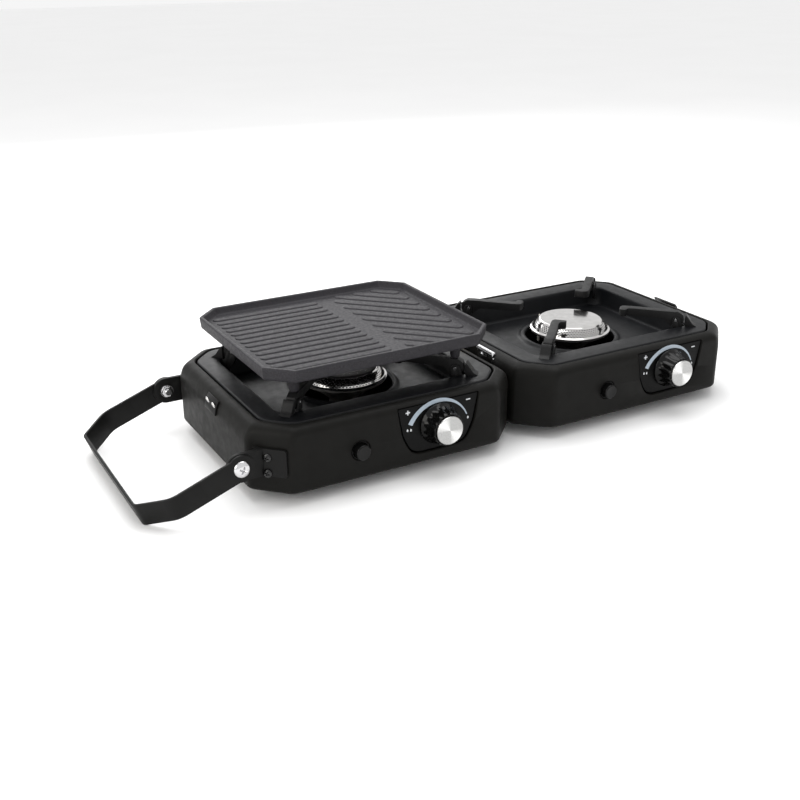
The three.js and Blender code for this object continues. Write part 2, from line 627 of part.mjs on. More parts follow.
function place(name, solid, material, x = 0, y = 0) {
  const mesh = new THREE.Mesh(toGeometry(solid), material);
  mesh.name = name;
  mesh.position.set(x, y, 0);
  model.add(mesh);
}

function addModule(name, x, hingeSide) {
  place(`${name}_shell`, shell(hingeSide), HOUSING, x);
  place(`${name}_base_plate`, basePlate(), HOUSING, x);
  place(`${name}_tray`, tray(), ENAMEL, x);
  place(`${name}_burner_body`, burnerBody(), ALLOY, x);
  place(`${name}_burner_cap`, burnerCap(), STEEL, x);
  place(`${name}_electrode`, electrode(), CERAMIC, x);
  place(`${name}_valve`, valve(), BRASS, x);
  place(`${name}_bezel`, bezel(), HOUSING, x);
  place(`${name}_knob`, knob(), GLOSS, x);
  place(`${name}_knob_cap`, knobCap(), STEEL, x);
  place(`${name}_igniter_button`, igniterButton(), GLOSS, x);
  place(`${name}_igniter_body`, igniterBody(), GLOSS, x);
  supportAngles().forEach((support) => {
    place(`${name}_support_${support.name}`, panSupport(support.angle, support.hand), CAST, x);
    const right = support.name.endsWith('right') ? 1 : -1;
    const back = support.name.startsWith('back') ? 1 : -1;
    place(`${name}_foot_${support.name}`, foot(), RUBBER, x + right * FEET.x, back * FEET.y);
  });
}

addModule('left', 0, 1);
addModule('right', MODULE_PITCH, -1);
place('griddle_plate', griddle(), CAST);

place('handle', handle(), HOUSING);
place('handle_bracket_front', handleBracket(), HOUSING);
place('handle_bracket_back', handleBracket().mirror([0, 1, 0]), HOUSING);
place('pivot_bolt_front', pivotBolt(), CHROME);
place('pivot_bolt_back', pivotBolt().mirror([0, 1, 0]), CHROME);

[['front', -HINGE.centreY], ['back', HINGE.centreY]].forEach(([name, y]) => {
  place(`hinge_leaf_left_${name}`, hingeLeaf(y, -1), CHROME);
  place(`hinge_leaf_right_${name}`, hingeLeaf(y, 1), CHROME);
  place(`hinge_pin_${name}`, hingePin(y), CHROME);
});
place('gas_union_left', gasUnion(-1), BRASS);
place('gas_union_right', gasUnion(1), BRASS);
place('catch_plate', catchPlate(), HOUSING);
place('latch_base', latchBase(), HOUSING);
place('latch_lever', latchLever(), HOUSING);
place('gas_inlet', gasInlet(), BRASS);

const bounds = new THREE.Box3().setFromObject(model);
const centre = bounds.getCenter(new THREE.Vector3());
model.position.set(-centre.x, -centre.y, -bounds.min.z);

export default model;
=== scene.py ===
"""A folding two-burner camping stove: the looks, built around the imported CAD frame."""

import math

import bmesh
import bpy
from mathutils import Matrix, Vector


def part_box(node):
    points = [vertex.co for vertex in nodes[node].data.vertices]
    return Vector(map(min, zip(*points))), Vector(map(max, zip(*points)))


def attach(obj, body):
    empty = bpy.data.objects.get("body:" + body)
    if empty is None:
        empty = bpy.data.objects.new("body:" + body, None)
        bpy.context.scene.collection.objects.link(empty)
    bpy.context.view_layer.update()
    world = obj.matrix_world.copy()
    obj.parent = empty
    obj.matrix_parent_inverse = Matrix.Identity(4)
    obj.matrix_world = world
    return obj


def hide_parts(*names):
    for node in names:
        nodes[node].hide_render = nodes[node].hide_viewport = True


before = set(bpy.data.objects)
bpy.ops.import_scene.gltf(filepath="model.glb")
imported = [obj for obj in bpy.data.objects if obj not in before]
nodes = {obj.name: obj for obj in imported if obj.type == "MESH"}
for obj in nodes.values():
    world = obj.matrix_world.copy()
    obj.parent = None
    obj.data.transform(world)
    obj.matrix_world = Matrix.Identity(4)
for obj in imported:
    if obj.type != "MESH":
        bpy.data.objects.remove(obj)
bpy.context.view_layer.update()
MM = 0.001

# ------------------------------------------------------------------ places, from the frame

SIDES = ("left", "right")
CORNERS = ("back_right", "back_left", "front_left", "front_right")


def middle(node):
    low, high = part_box(node)
    return (low + high) / 2


def module_axis(side):
    """The burner's axis, on the ground."""
    centre = middle(f"{side}_shell")
    return Vector((centre.x, centre.y, 0.0))


AXIS = {side: module_axis(side) for side in SIDES}
SHELL_LOW, SHELL_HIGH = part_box("left_shell")
HALF_X = (SHELL_HIGH.x - SHELL_LOW.x) / 2
HALF_Y = (SHELL_HIGH.y - SHELL_LOW.y) / 2
BOTTOM = SHELL_LOW.z
TOP = SHELL_HIGH.z
FRONT = -HALF_Y

# ------------------------------------------------------------------ sizes in metres, as the CAD has them

CHAMFER = 34 * MM
CORNER, CORNER_GROWTH = 12 * MM, 0.6
BASIN_CORNER = 14 * MM
BOTTOM_FILLET = 6 * MM
SIDE_INSET, SIDE_DROP = 16.5 * MM, 21 * MM
FRONT_INSET, FRONT_DROP = 12.3 * MM, 9 * MM
WALL = 2.2 * MM
LIP = 1.8 * MM
BURNER = {"flange": 48.5 * MM, "flange_z": 72 * MM, "disc": 38.5 * MM}
SUPPORT = {"tip": 58 * MM, "pivot": 125 * MM, "pivot_z": 90 * MM, "top": 100 * MM, "width": 9.5 * MM}
HOOK_HAND = {"back_right": 1, "back_left": -1, "front_left": 1, "front_right": -1}
SUPPORT_ANGLE = {"back_right": 41, "back_left": 139, "front_left": 221, "front_right": 319}
KNOB = {"x": 44.7 * MM, "z": 53.3 * MM}
BEZEL = {"face": 1.8 * MM, "top": 78.3 * MM, "bottom": 25 * MM, "top_half": 48.3 * MM, "bottom_half": 28 * MM}
IGNITER = {"x": -46 * MM, "z": 44 * MM, "radius": 8.2 * MM, "sleeve": 9.8 * MM, "proud": 7.5 * MM}
HANDLE = {"pivot_x": -166.2 * MM, "pivot_z": 47.3 * MM, "arm_y": 114.8 * MM, "droop": 20.3}
CATCH = {"y": -3.5 * MM, "half": 15 * MM, "low": 62.5 * MM, "high": 77 * MM}
RIVET = {"z": 71.5 * MM, "spacing": 8.4 * MM, "tilt": 19.7}
SCALE_CENTRE_Z = 40.9 * MM
UNION_SPIGOT_X = 10.5 * MM

# The cap's holes: half sizes as a share of their cell.
HOLES = {"columns": 76, "rows": 5, "half_width": 0.34, "half_height": 0.40}

# These are in millimetres.
STRAP_HALF, STRAP_GAP = 1.5, 0.3
EAR = {"radius": 14.5, "root": 11, "thickness": 4}
GRIDDLE_SIZE = {"half_x": 129, "half_y": 112, "chamfer": 24.3}
STRAIGHT_RIDGES = {"count": 16, "first_y": -100.9, "pitch": 13.45, "width": 10.0, "margin": 14.5}
SLANTED_RIDGES = {"reach": 12, "centre_x": 70, "pitch": 16.5, "width": 12.2, "margin": 17}

# ------------------------------------------------------------------ mesh helpers


def mm(points):
    """Pairs given in millimetres, in metres."""
    return [(a * MM, b * MM) for a, b in points]


def link(name, mesh):
    obj = bpy.data.objects.new(name, mesh)
    bpy.context.scene.collection.objects.link(obj)
    return obj


def mesh_object(name, verts, faces):
    mesh = bpy.data.meshes.new(name)
    mesh.from_pydata([tuple(v) for v in verts], [], faces)
    mesh.validate()
    obj = link(name, mesh)
    edit(obj, lambda bm: bmesh.ops.recalc_face_normals(bm, faces=bm.faces))
    return obj


def edit(obj, change):
    bm = bmesh.new()
    bm.from_mesh(obj.data)
    change(bm)
    bm.to_mesh(obj.data)
    bm.free()


def rings(name, loops, closed=False):
    """A solid through loops of equal point counts; a closed one joins its last loop to its first."""
    count = len(loops[0])
    verts = [point for loop in loops for point in loop]
    faces = []
    last = len(loops) if closed else len(loops) - 1
    for level in range(last):
        a = level * count
        b = (level + 1) % len(loops) * count
        for i in range(count):
            j = (i + 1) % count
            faces.append((a + i, a + j, b + j, b + i))
    if not closed:
        faces.append(tuple(reversed(range(count))))
        top = (len(loops) - 1) * count
        faces.append(tuple(top + i for i in range(count)))
    return mesh_object(name, verts, faces)


def lathe(name, profile, segments=64, axis="Z", wobble=None):
    """A turned solid; the profile lists (radius, height).

    It starts and ends on the axis, or closes on itself.
    """
    verts, rows = [], []
    for index, (radius, height) in enumerate(profile):
        if radius < 1e-9:
            rows.append([len(verts)] * segments)
            verts.append(along(axis, 0, 0, height))
            continue
        row = []
        for i in range(segments):
            angle = 2 * math.pi * i / segments
            r = radius + (wobble(index, angle) if wobble else 0)
            row.append(len(verts))
            verts.append(along(axis, r * math.cos(angle), r * math.sin(angle), height))
        rows.append(row)
    faces = []
    ends = zip(rows, rows[1:] if profile[0][0] < 1e-9 else rows[1:] + rows[:1])
    for low, high in ends:
        for i in range(segments):
            j = (i + 1) % segments
            corners = [low[i], low[j], high[j], high[i]]
            face = tuple(dict.fromkeys(corners))
            if len(face) > 2:
                faces.append(face)
    return mesh_object(name, verts, faces)


def along(axis, a, b, height):
    return (a, b, height) if axis == "Z" else (a, height, b)


def extrude(name, outline, low, high, plane="XZ"):
    """An outline, a closed list of 2D points, pushed through along the third direction."""
    if plane == "XZ":
        loops = [[(x, y, z) for x, z in outline] for y in (low, high)]
    else:
        loops = [[(x, y, z) for x, y in outline] for z in (low, high)]
    return rings(name, loops)


def fillet(points, radius, steps=6):
    """The same outline with each corner rounded; radius is one number or one for each point."""
    radii = radius if isinstance(radius, (list, tuple)) else [radius] * len(points)
    result = []
    for i, point in enumerate(points):
        here = Vector(point)
        before = (Vector(points[i - 1]) - here)
        after = (Vector(points[(i + 1) % len(points)]) - here)
        bend = before.angle(after)
        reach = min(radii[i] / math.tan(bend / 2), before.length * 0.49, after.length * 0.49)
        if reach < 1e-6 or bend > math.pi - 1e-3:
            result.append(tuple(here))
            continue
        start, end = here + before.normalized() * reach, here + after.normalized() * reach
        for k in range(steps + 1):
            t = k / steps
            curve = start * (1 - t) ** 2 + here * 2 * t * (1 - t) + end * t ** 2
            result.append(tuple(curve))
    return result


def circle(radius, x=0.0, y=0.0, steps=48):
    turns = [2 * math.pi * i / steps for i in range(steps)]
    return [(x + radius * math.cos(a), y + radius * math.sin(a)) for a in turns]


def octagon(half_x, half_y, chamfer, inset_x, inset_y, corner, steps=8):
    """A rounded octagon, anticlockwise, each side given by its distance from the centre."""
    diagonal = (half_x + half_y - chamfer) / math.sqrt(2) - (inset_x + inset_y) / 2
    distances = [half_x - inset_x, diagonal, half_y - inset_y, diagonal]
    points = []
    for side in range(8):
        angle = side * math.pi / 4
        near = distances[side % 4] - corner
        slide = ((distances[(side + 1) % 4] - corner) - near * math.sqrt(0.5)) / math.sqrt(0.5)
        cx = near * math.cos(angle) - slide * math.sin(angle)
        cy = near * math.sin(angle) + slide * math.cos(angle)
        for step in range(steps + 1):
            turn = angle + step / steps * math.pi / 4
            points.append((cx + corner * math.cos(turn), cy + corner * math.sin(turn)))
    return points


def split_sides(points, arc=8, extra=9):
    """The same octagon with extra points along each straight side."""
    result = []
    for i, point in enumerate(points):
        result.append(point)
        if i % (arc + 1) == arc:
            after = points[(i + 1) % len(points)]
            for k in range(1, extra + 1):
                t = k / (extra + 1)
                result.append(tuple(a + (b - a) * t for a, b in zip(point, after)))
    return result


def apply_modifiers(obj):
    depsgraph = bpy.context.evaluated_depsgraph_get()
    mesh = bpy.data.meshes.new_from_object(obj.evaluated_get(depsgraph))
    obj.modifiers.clear()
    old = obj.data
    obj.data = mesh
    bpy.data.meshes.remove(old)
    return obj


def combine(obj, operation, others):
    for other in others:
        modifier = obj.modifiers.new("combine", "BOOLEAN")
        modifier.operation = operation
        modifier.object = other
        modifier.solver = "EXACT"
    bpy.context.view_layer.update()
    apply_modifiers(obj)
    for other in others:
        bpy.data.objects.remove(other)
    edit(obj, lambda bm: bmesh.ops.remove_doubles(bm, verts=bm.verts, dist=1e-6))
    return obj


def cut(obj, *tools):
    return combine(obj, "DIFFERENCE", tools)


def unite(obj, *others):
    return combine(obj, "UNION", others)


def keep_common(obj, *others):
    return combine(obj, "INTERSECT", others)


def bevel(obj, width, segments=3, angle=30):
    modifier = obj.modifiers.new("bevel", "BEVEL")
    modifier.width = width
    modifier.segments = segments
    modifier.limit_method = "ANGLE"
    modifier.angle_limit = math.radians(angle)
    modifier.use_clamp_overlap = True
    return apply_modifiers(obj)


def smooth(obj, angle=32):
    limit = math.radians(angle)

    def mark(bm):
        for face in bm.faces:
            face.smooth = True
        for edge in bm.edges:
            edge.smooth = len(edge.link_faces) != 2 or edge.calc_face_angle(0) < limit

    edit(obj, mark)
    return obj


def transform(obj, matrix):
    obj.data.transform(matrix)
    return obj


def move(obj, x=0.0, y=0.0, z=0.0):
    return transform(obj, Matrix.Translation((x, y, z)))


def turn_z(obj, degrees):
    return transform(obj, Matrix.Rotation(math.radians(degrees), 4, "Z"))


def merge(name, parts):
    """Several closed meshes as one object."""
    bm = bmesh.new()
    for part in parts:
        bm.from_mesh(part.data)
        bpy.data.objects.remove(part)
    mesh = bpy.data.meshes.new(name)
    bm.to_mesh(mesh)
    bm.free()
    return link(name, mesh)


def piece(obj, body, slot, look, *replaced):
    """Finishes a piece: its material, its body and the CAD nodes it stands for; slot is not used."""
    obj.data.materials.clear()
    obj.data.materials.append(look)
    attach(obj, body)
    if replaced:
        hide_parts(*replaced)
    return obj


# ------------------------------------------------------------------ materials


def principled(name, color, roughness, metallic=0.0, specular=0.5):
    look = bpy.data.materials.new(name)
    look.use_nodes = True
    shader = look.node_tree.nodes["Principled BSDF"]
    shader.inputs["Base Color"].default_value = (*color, 1)
    shader.inputs["Roughness"].default_value = roughness
    shader.inputs["Metallic"].default_value = metallic
    shader.inputs["Specular IOR Level"].default_value = specular
    return look, look.node_tree, shader


def noise(tree, scale, detail=2.0, stretch=None):
    coords = tree.nodes.new("ShaderNodeTexCoord")
    source = coords.outputs["Object"]
    if stretch:
        mapping = tree.nodes.new("ShaderNodeMapping")
        mapping.inputs["Scale"].default_value = stretch
        tree.links.new(source, mapping.inputs["Vector"])
        source = mapping.outputs["Vector"]
    texture = tree.nodes.new("ShaderNodeTexNoise")
    texture.inputs["Scale"].default_value = scale
    texture.inputs["Detail"].default_value = detail
    tree.links.new(source, texture.inputs["Vector"])
    return texture.outputs["Fac"]


def spread(tree, source, low, high, start=0.3, end=0.7):
    """Maps a 0 to 1 value to a colour or number between low and high."""
    if isinstance(low, tuple):
        ramp = tree.nodes.new("ShaderNodeValToRGB")
        ramp.color_ramp.elements[0].position = start
        ramp.color_ramp.elements[1].position = end
        ramp.color_ramp.elements[0].color = (*low, 1)
        ramp.color_ramp.elements[1].color = (*high, 1)
        tree.links.new(source, ramp.inputs["Fac"])
        return ramp.outputs["Color"]
    ranged = tree.nodes.new("ShaderNodeMapRange")
    ranged.inputs["From Min"].default_value = start
    ranged.inputs["From Max"].default_value = end
    ranged.inputs["To Min"].default_value = low
    ranged.inputs["To Max"].default_value = high
    tree.links.new(source, ranged.inputs["Value"])
    return ranged.outputs["Result"]


def bump(tree, shader, source, distance, strength=1.0):
    node = tree.nodes.new("ShaderNodeBump")
    node.inputs["Distance"].default_value = distance
    node.inputs["Strength"].default_value = strength
    tree.links.new(source, node.inputs["Height"])
    tree.links.new(node.outputs["Normal"], shader.inputs["Normal"])


def coated(name, dark, light, rough_low, rough_high, grain, depth, specular=0.5):
    """A painted, enamelled or cast surface: cloudy colour, uneven gloss and a fine grain."""
    look, tree, shader = principled(name, dark, rough_low, specular=specular)
    tree.links.new(spread(tree, noise(tree, 60, 4), dark, light), shader.inputs["Base Color"])
    tree.links.new(spread(tree, noise(tree, 110, 3), rough_low, rough_high), shader.inputs["Roughness"])
    bump(tree, shader, noise(tree, grain, 3), depth)
    return look


def metal(name, dark, light, rough_low, rough_high, grain=900, depth=0.00001, stretch=None):
    look, tree, shader = principled(name, dark, rough_low, metallic=1.0)
    tree.links.new(spread(tree, noise(tree, grain / 4, 3, stretch), dark, light), shader.inputs["Base Color"])
    tree.links.new(spread(tree, noise(tree, grain, 2, stretch), rough_low, rough_high),
                   shader.inputs["Roughness"])
    bump(tree, shader, noise(tree, grain * 2, 2, stretch), depth)
    return look


def speckled(name):
    """Non-stick coating on cast metal: warm dark grey with fine light and dark speckles."""
    look, tree, shader = principled(name, (0.024, 0.023, 0.026), 0.55, specular=0.22)
    base = spread(tree, noise(tree, 1500, 2), (0.014, 0.0132, 0.0155), (0.036, 0.034, 0.039), 0.35, 0.68)
    tree.links.new(base, shader.inputs["Base Color"])
    tree.links.new(spread(tree, noise(tree, 300, 3), 0.48, 0.66), shader.inputs["Roughness"])
    bump(tree, shader, noise(tree, 1100, 4), 0.00012)
    return look


def spun_painted_sheen(name):
    """Bright turned metal with a painted reflection: broad light and dark sectors in its colour stand in for
    brushed-metal highlights; they run out from its centre, on the object's Y axis.
    """
    look, tree, shader = principled(name, (0.62, 0.62, 0.61), 0.24, metallic=1.0)
    coords = tree.nodes.new("ShaderNodeTexCoord")
    mapping = tree.nodes.new("ShaderNodeMapping")
    mapping.inputs["Rotation"].default_value = (math.pi / 2, 0, 0)
    around = tree.nodes.new("ShaderNodeTexGradient")
    around.gradient_type = "RADIAL"
    wave = tree.nodes.new("ShaderNodeMath")
    wave.operation = "MULTIPLY"
    wave.inputs[1].default_value = 4 * math.pi
    painted_sheen_wave = tree.nodes.new("ShaderNodeMath")
    painted_sheen_wave.operation = "SINE"
    tree.links.new(coords.outputs["Object"], mapping.inputs["Vector"])
    tree.links.new(mapping.outputs["Vector"], around.inputs["Vector"])
    tree.links.new(around.outputs["Fac"], wave.inputs[0])
    tree.links.new(wave.outputs[0], painted_sheen_wave.inputs[0])
    # painted reflection: the base colour turns lighter and darker in sectors by the angle round the axis, in
    # place of brushed-metal highlights
    colour = spread(tree, painted_sheen_wave.outputs[0], (0.42, 0.42, 0.415), (0.80, 0.80, 0.79), 0.0, 1.0)
    tree.links.new(colour, shader.inputs["Base Color"])
    tree.links.new(spread(tree, noise(tree, 700, 2), 0.2, 0.3), shader.inputs["Roughness"])
    return look


HOUSING = coated("housing", (0.0052, 0.0050, 0.0044), (0.0068, 0.0066, 0.0058), 0.42, 0.52, 2600, 0.00003,
                 0.10)
ENAMEL = coated("tray_enamel", (0.0046, 0.0050, 0.0058), (0.0066, 0.0070, 0.0080), 0.36, 0.46, 1800,
                0.00003, 0.14)
CAST = coated("cast_support", (0.0060, 0.0060, 0.0062), (0.0095, 0.0094, 0.0096), 0.42, 0.55, 1300, 0.00008,
              0.22)
PANEL = coated("panel", (0.0036, 0.0037, 0.0037), (0.0048, 0.0049, 0.0049), 0.36, 0.44, 3000, 0.00002, 0.09)
GLOSS = coated("control_plastic", (0.0018, 0.0018, 0.0018), (0.0026, 0.0026, 0.0026), 0.10, 0.16, 2500,
               0.000006, 0.22)
STRAP = coated("handle_steel", (0.0046, 0.0046, 0.0044), (0.0062, 0.0062, 0.0060), 0.38, 0.46, 2200,
               0.00003, 0.15)
SCREW = coated("screw_black", (0.0030, 0.0030, 0.0030), (0.0042, 0.0042, 0.0042), 0.16, 0.24, 2500,
               0.000006, 0.5)
SOOT = coated("dark_gauze", (0.0040, 0.0040, 0.0040), (0.0060, 0.0060, 0.0060), 0.7, 0.9, 1500, 0.00005, 0.1)
RUBBER = coated("foot_rubber", (0.012, 0.012, 0.012), (0.020, 0.020, 0.020), 0.75, 0.9, 1500, 0.0001, 0.3)
CERAMIC = coated("ceramic", (0.70, 0.67, 0.60), (0.80, 0.77, 0.70), 0.35, 0.5, 1500, 0.00003)
GRIDDLE = speckled("griddle_coating")
STEEL = metal("stainless", (0.58, 0.57, 0.56), (0.66, 0.65, 0.64), 0.10, 0.16, 500, 0.000002)
ALLOY = metal("burner_alloy", (0.10, 0.10, 0.10), (0.18, 0.175, 0.17), 0.5, 0.65, 500, 0.00006)
BRASS = metal("brass_fitting", (0.52, 0.36, 0.13), (0.64, 0.46, 0.19), 0.22, 0.34)
CHROME = metal("chrome_hardware", (0.60, 0.60, 0.61), (0.68, 0.68, 0.69), 0.10, 0.18, 600, 0.000004)
# the knob cap's material carries painted reflection sectors in its base colour
SPUN_PAINTED_SHEEN = spun_painted_sheen("knob_cap")
PRINT = coated("printed_marks", (0.60, 0.62, 0.64), (0.70, 0.72, 0.73), 0.45, 0.55, 2000, 0.00001)
SCALE_PRINT = coated("printed_scale", (0.36, 0.43, 0.50), (0.44, 0.50, 0.56), 0.40, 0.50, 2000, 0.00001)

# ------------------------------------------------------------------ housing


def shoulder(z, inset, drop):
    rise = min(max((z - (TOP - drop)) / drop, 0.0), 1.0)
    return inset * (1 - math.sqrt(max(1 - rise * rise, 0.0)))


def module_loop(inset_x, inset_y, z, corner=None):
    radius = corner or CORNER + CORNER_GROWTH * min(inset_x, inset_y)
    points = octagon(HALF_X, HALF_Y, CHAMFER, inset_x, inset_y, radius)
    return [(x, y, z) for x, y in points]


def basin_loop(inset, z):
    """The basin keeps one corner radius until its short corner sides run out of length."""
    room = (CHAMFER - (2 - math.sqrt(2)) * inset) / (math.sqrt(2) * math.tan(math.pi / 8))
    return module_loop(inset, inset, z, min(BASIN_CORNER, 0.97 * room))


def shell_profile():
    """(inset along X, inset along Y, height) from the bottom lip, up the outside and back down inside."""
    radius = BOTTOM_FILLET
    lip = 14 * MM
    profile = [(lip, lip, BOTTOM + 0.4 * MM), (lip - 0.4 * MM, lip - 0.4 * MM, BOTTOM)]
    for step in range(9):
        angle = math.pi / 2 * step / 8
        inset = radius * (1 - math.sin(angle))
        profile.append((inset, inset, BOTTOM + radius * (1 - math.cos(angle))))
    profile.append((0.0, 0.0, BOTTOM + 30 * MM))
    for step in range(19):
        z = TOP - SIDE_DROP * (1 - math.sin(math.pi / 2 * step / 18))
        inset_x, inset_y = shoulder(z, SIDE_INSET, SIDE_DROP), shoulder(z, FRONT_INSET, FRONT_DROP)
        profile.append((min(inset_x, SIDE_INSET - LIP), min(inset_y, FRONT_INSET - LIP), z))
    for step in range(1, 7):
        turn = math.pi / 2 * step / 6
        drop = LIP * (1 - math.cos(turn))
        profile.append((SIDE_INSET - LIP + LIP * math.sin(turn), FRONT_INSET - LIP + LIP * math.sin(turn),
                        TOP - drop))
    profile.append((SIDE_INSET, FRONT_INSET, TOP - 4 * MM))
    for z in (TOP - 4 * MM, TOP - 8 * MM, TOP - 16 * MM, TOP - 24 * MM, BOTTOM + radius):
        profile.append((shoulder(z + WALL, SIDE_INSET, SIDE_DROP) + WALL,
                        shoulder(z + WALL, FRONT_INSET, FRONT_DROP) + WALL, z))
    profile.append((radius + 1 * MM, radius + 1 * MM, BOTTOM + WALL))
    profile.append((lip, lip, BOTTOM + WALL))
    return profile


def bezel_outline(grow):
    """The shield-shaped control panel, widest at the top."""
    x, top, bottom = KNOB["x"], BEZEL["top"] + grow, BEZEL["bottom"] - grow
    wide, narrow = BEZEL["top_half"] + grow, BEZEL["bottom_half"] + grow
    corners = [(x - wide, top), (x - wide + 6 * MM, bottom + 22 * MM), (x - narrow - 4 * MM, bottom),
               (x + narrow + 4 * MM, bottom), (x + wide - 6 * MM, bottom + 22 * MM), (x + wide, top)]
    return fillet(corners, [1.5 * MM, 30 * MM, 22 * MM, 22 * MM, 30 * MM, 1.5 * MM], steps=8)


def tapered_tool(outline_at, x=0.0, z=0.0):
    """A cutter through the front wall whose mouth is a little wider than its throat."""
    loops = []
    for y, grow in ((FRONT - 2 * MM, 2.4 * MM), (FRONT, 1.6 * MM), (FRONT + 0.6 * MM, 0.8 * MM),
                    (FRONT + 1.5 * MM, 0.4 * MM),
                    (FRONT + 9 * MM, 0.4 * MM)):
        loops.append([(x + px, y, z + pz) for px, pz in outline_at(grow)])
    return rings("tool", loops)


def build_shell(side):
    loops = [module_loop(*row) for row in shell_profile()]
    obj = rings(f"{side}_housing_shell", loops, closed=True)
    tools = [
        tapered_tool(bezel_outline),
        tapered_tool(lambda grow: circle(IGNITER["sleeve"] + grow * 0.8), IGNITER["x"], IGNITER["z"]),
    ]
    spigot = UNION_SPIGOT_X if side == "right" else -UNION_SPIGOT_X
    hinge_x = middle("hinge_pin_front").x - AXIS[side].x
    tools.append(extrude("tool", circle(3 * MM, hinge_x + spigot, 0, 24), TOP - 14 * MM, TOP, "XY"))
    if side == "left":
        inlet = middle("gas_inlet") - AXIS["left"]
        tools.append(extrude("tool", circle(7.3 * MM, inlet.x, inlet.z, 32), HALF_Y - 8 * MM,
                             HALF_Y + 2 * MM))
    cut(obj, *tools)
    move(smooth(obj), *AXIS[side])
    return piece(obj, f"{side}_module", "housing", HOUSING, f"{side}_shell")


def build_tray(side):
    """The drip tray: a flat band, a basin and a raised lip round the burner hole, in one closed sheet."""
    edge_x, edge_y = SIDE_INSET + 1.7 * MM, FRONT_INSET + 1.7 * MM
    roll = 2.4 * MM
    loops = [module_loop(edge_x + roll, edge_y + roll, TOP - 4.4 * MM),
             module_loop(edge_x, edge_y, TOP - 4 * MM)]
    for step in range(7):
        turn = math.pi / 2 * step / 6
        inset = roll * (1 - math.cos(turn))
        loops.append(module_loop(edge_x + inset, edge_y + inset, TOP - roll * (1 - math.sin(turn))))
    walls = [(38.0, 83.0), (39.4, 82.75), (40.5, 82.0), (41.1, 80.6), (41.6, 78.6), (44.0, 63.4),
             (44.6, 61.6), (45.8, 60.4),
             (48.0, 60.0), (51.0, 60.0)]
    loops += [basin_loop(inset * MM, z * MM) for inset, z in walls]
    loops = [split_sides(loop) for loop in loops]
    angles = [math.atan2(y, x) for x, y, _ in split_sides(basin_loop(48 * MM, 0))]

    def ring(radius, z):
        return [(radius * MM * math.cos(a), radius * MM * math.sin(a), z * MM) for a in angles]

    lip = [(66.0, 60.0), (63.0, 60.1), (61.4, 60.7), (60.2, 61.8), (59.0, 62.7), (57.4, 63.1), (55.6, 62.9),
           (54.4, 62.1), (54.0, 61.0),
           (54.0, 58.0), (66.0, 58.0)]
    loops += [ring(radius, z) for radius, z in lip]
    under = [(50.0, 58.0), (44.0, 58.4), (42.6, 60.5), (38.6, 79.0), (37.0, 80.4), (34.0, 80.8)]
    loops += [split_sides(basin_loop(inset * MM, z * MM)) for inset, z in under]
    loops.append(split_sides(module_loop(edge_x + 3 * MM, edge_y + 3 * MM, TOP - 2.4 * MM)))
    obj = rings(f"{side}_drip_tray", loops, closed=True)
    move(smooth(obj, 40), *AXIS[side])
    return piece(obj, f"{side}_module", "tray_enamel", ENAMEL, f"{side}_tray")


def build_lugs(side, corner):
    """The two gussets on the basin wall that carry one pan support's pin."""
    pivot, height = SUPPORT["pivot"] / MM, SUPPORT["pivot_z"] / MM
    corners = [(pivot - 3.8, height - 7), (pivot + 3, 70), (pivot + 9.7, 67), (pivot + 12, 80.6),
               (pivot + 9, 81.8),
               (pivot + 4.2, height + 3.8), (pivot - 3.8, height + 3.8)]
    outline = fillet(mm(corners), [r * MM for r in (2, 2, 0.5, 0.5, 4, 3.8, 3.8)])
    for hand, label in ((1, "a"), (-1, "b")):
        inner = hand * (SUPPORT["width"] / 2 + 0.4 * MM)
        outer = inner + hand * 2 * MM
        obj = extrude(f"{side}_{corner}_lug_{label}", outline, min(inner, outer), max(inner, outer))
        bore = extrude("tool", circle(2.1 * MM, SUPPORT["pivot"], SUPPORT["pivot_z"], 24), -20 * MM, 20 * MM)
        bevel(cut(obj, bore), 0.4 * MM, 2)
        turn_z(smooth(obj), SUPPORT_ANGLE[corner])
        move(obj, *AXIS[side])
        piece(obj, f"{side}_module", "cast_support", CAST)


def build_stop(side, corner):
    """The sloping cast block on the band behind a pan support, in line with it."""
    corners = [(11.2, -2), (24.5, -2), (24.5, 0.3), (19.8, 3), (14.4, 10.8), (12.4, 12.9), (11.2, 12.9)]
    outline = fillet([(SUPPORT["pivot"] + x * MM, TOP + z * MM) for x, z in corners],
                     [r * MM for r in (0.1, 0.1, 0.1, 8, 12, 1, 0.3)])
    half = 5.75 * MM
    obj = extrude(f"{side}_{corner}_stop_block", outline, -half, half)
    bevel(obj, 1.4 * MM, 4, 40)
    turn_z(smooth(obj, 50), SUPPORT_ANGLE[corner])
    move(obj, *AXIS[side])
    piece(obj, f"{side}_module", "cast_support", CAST)


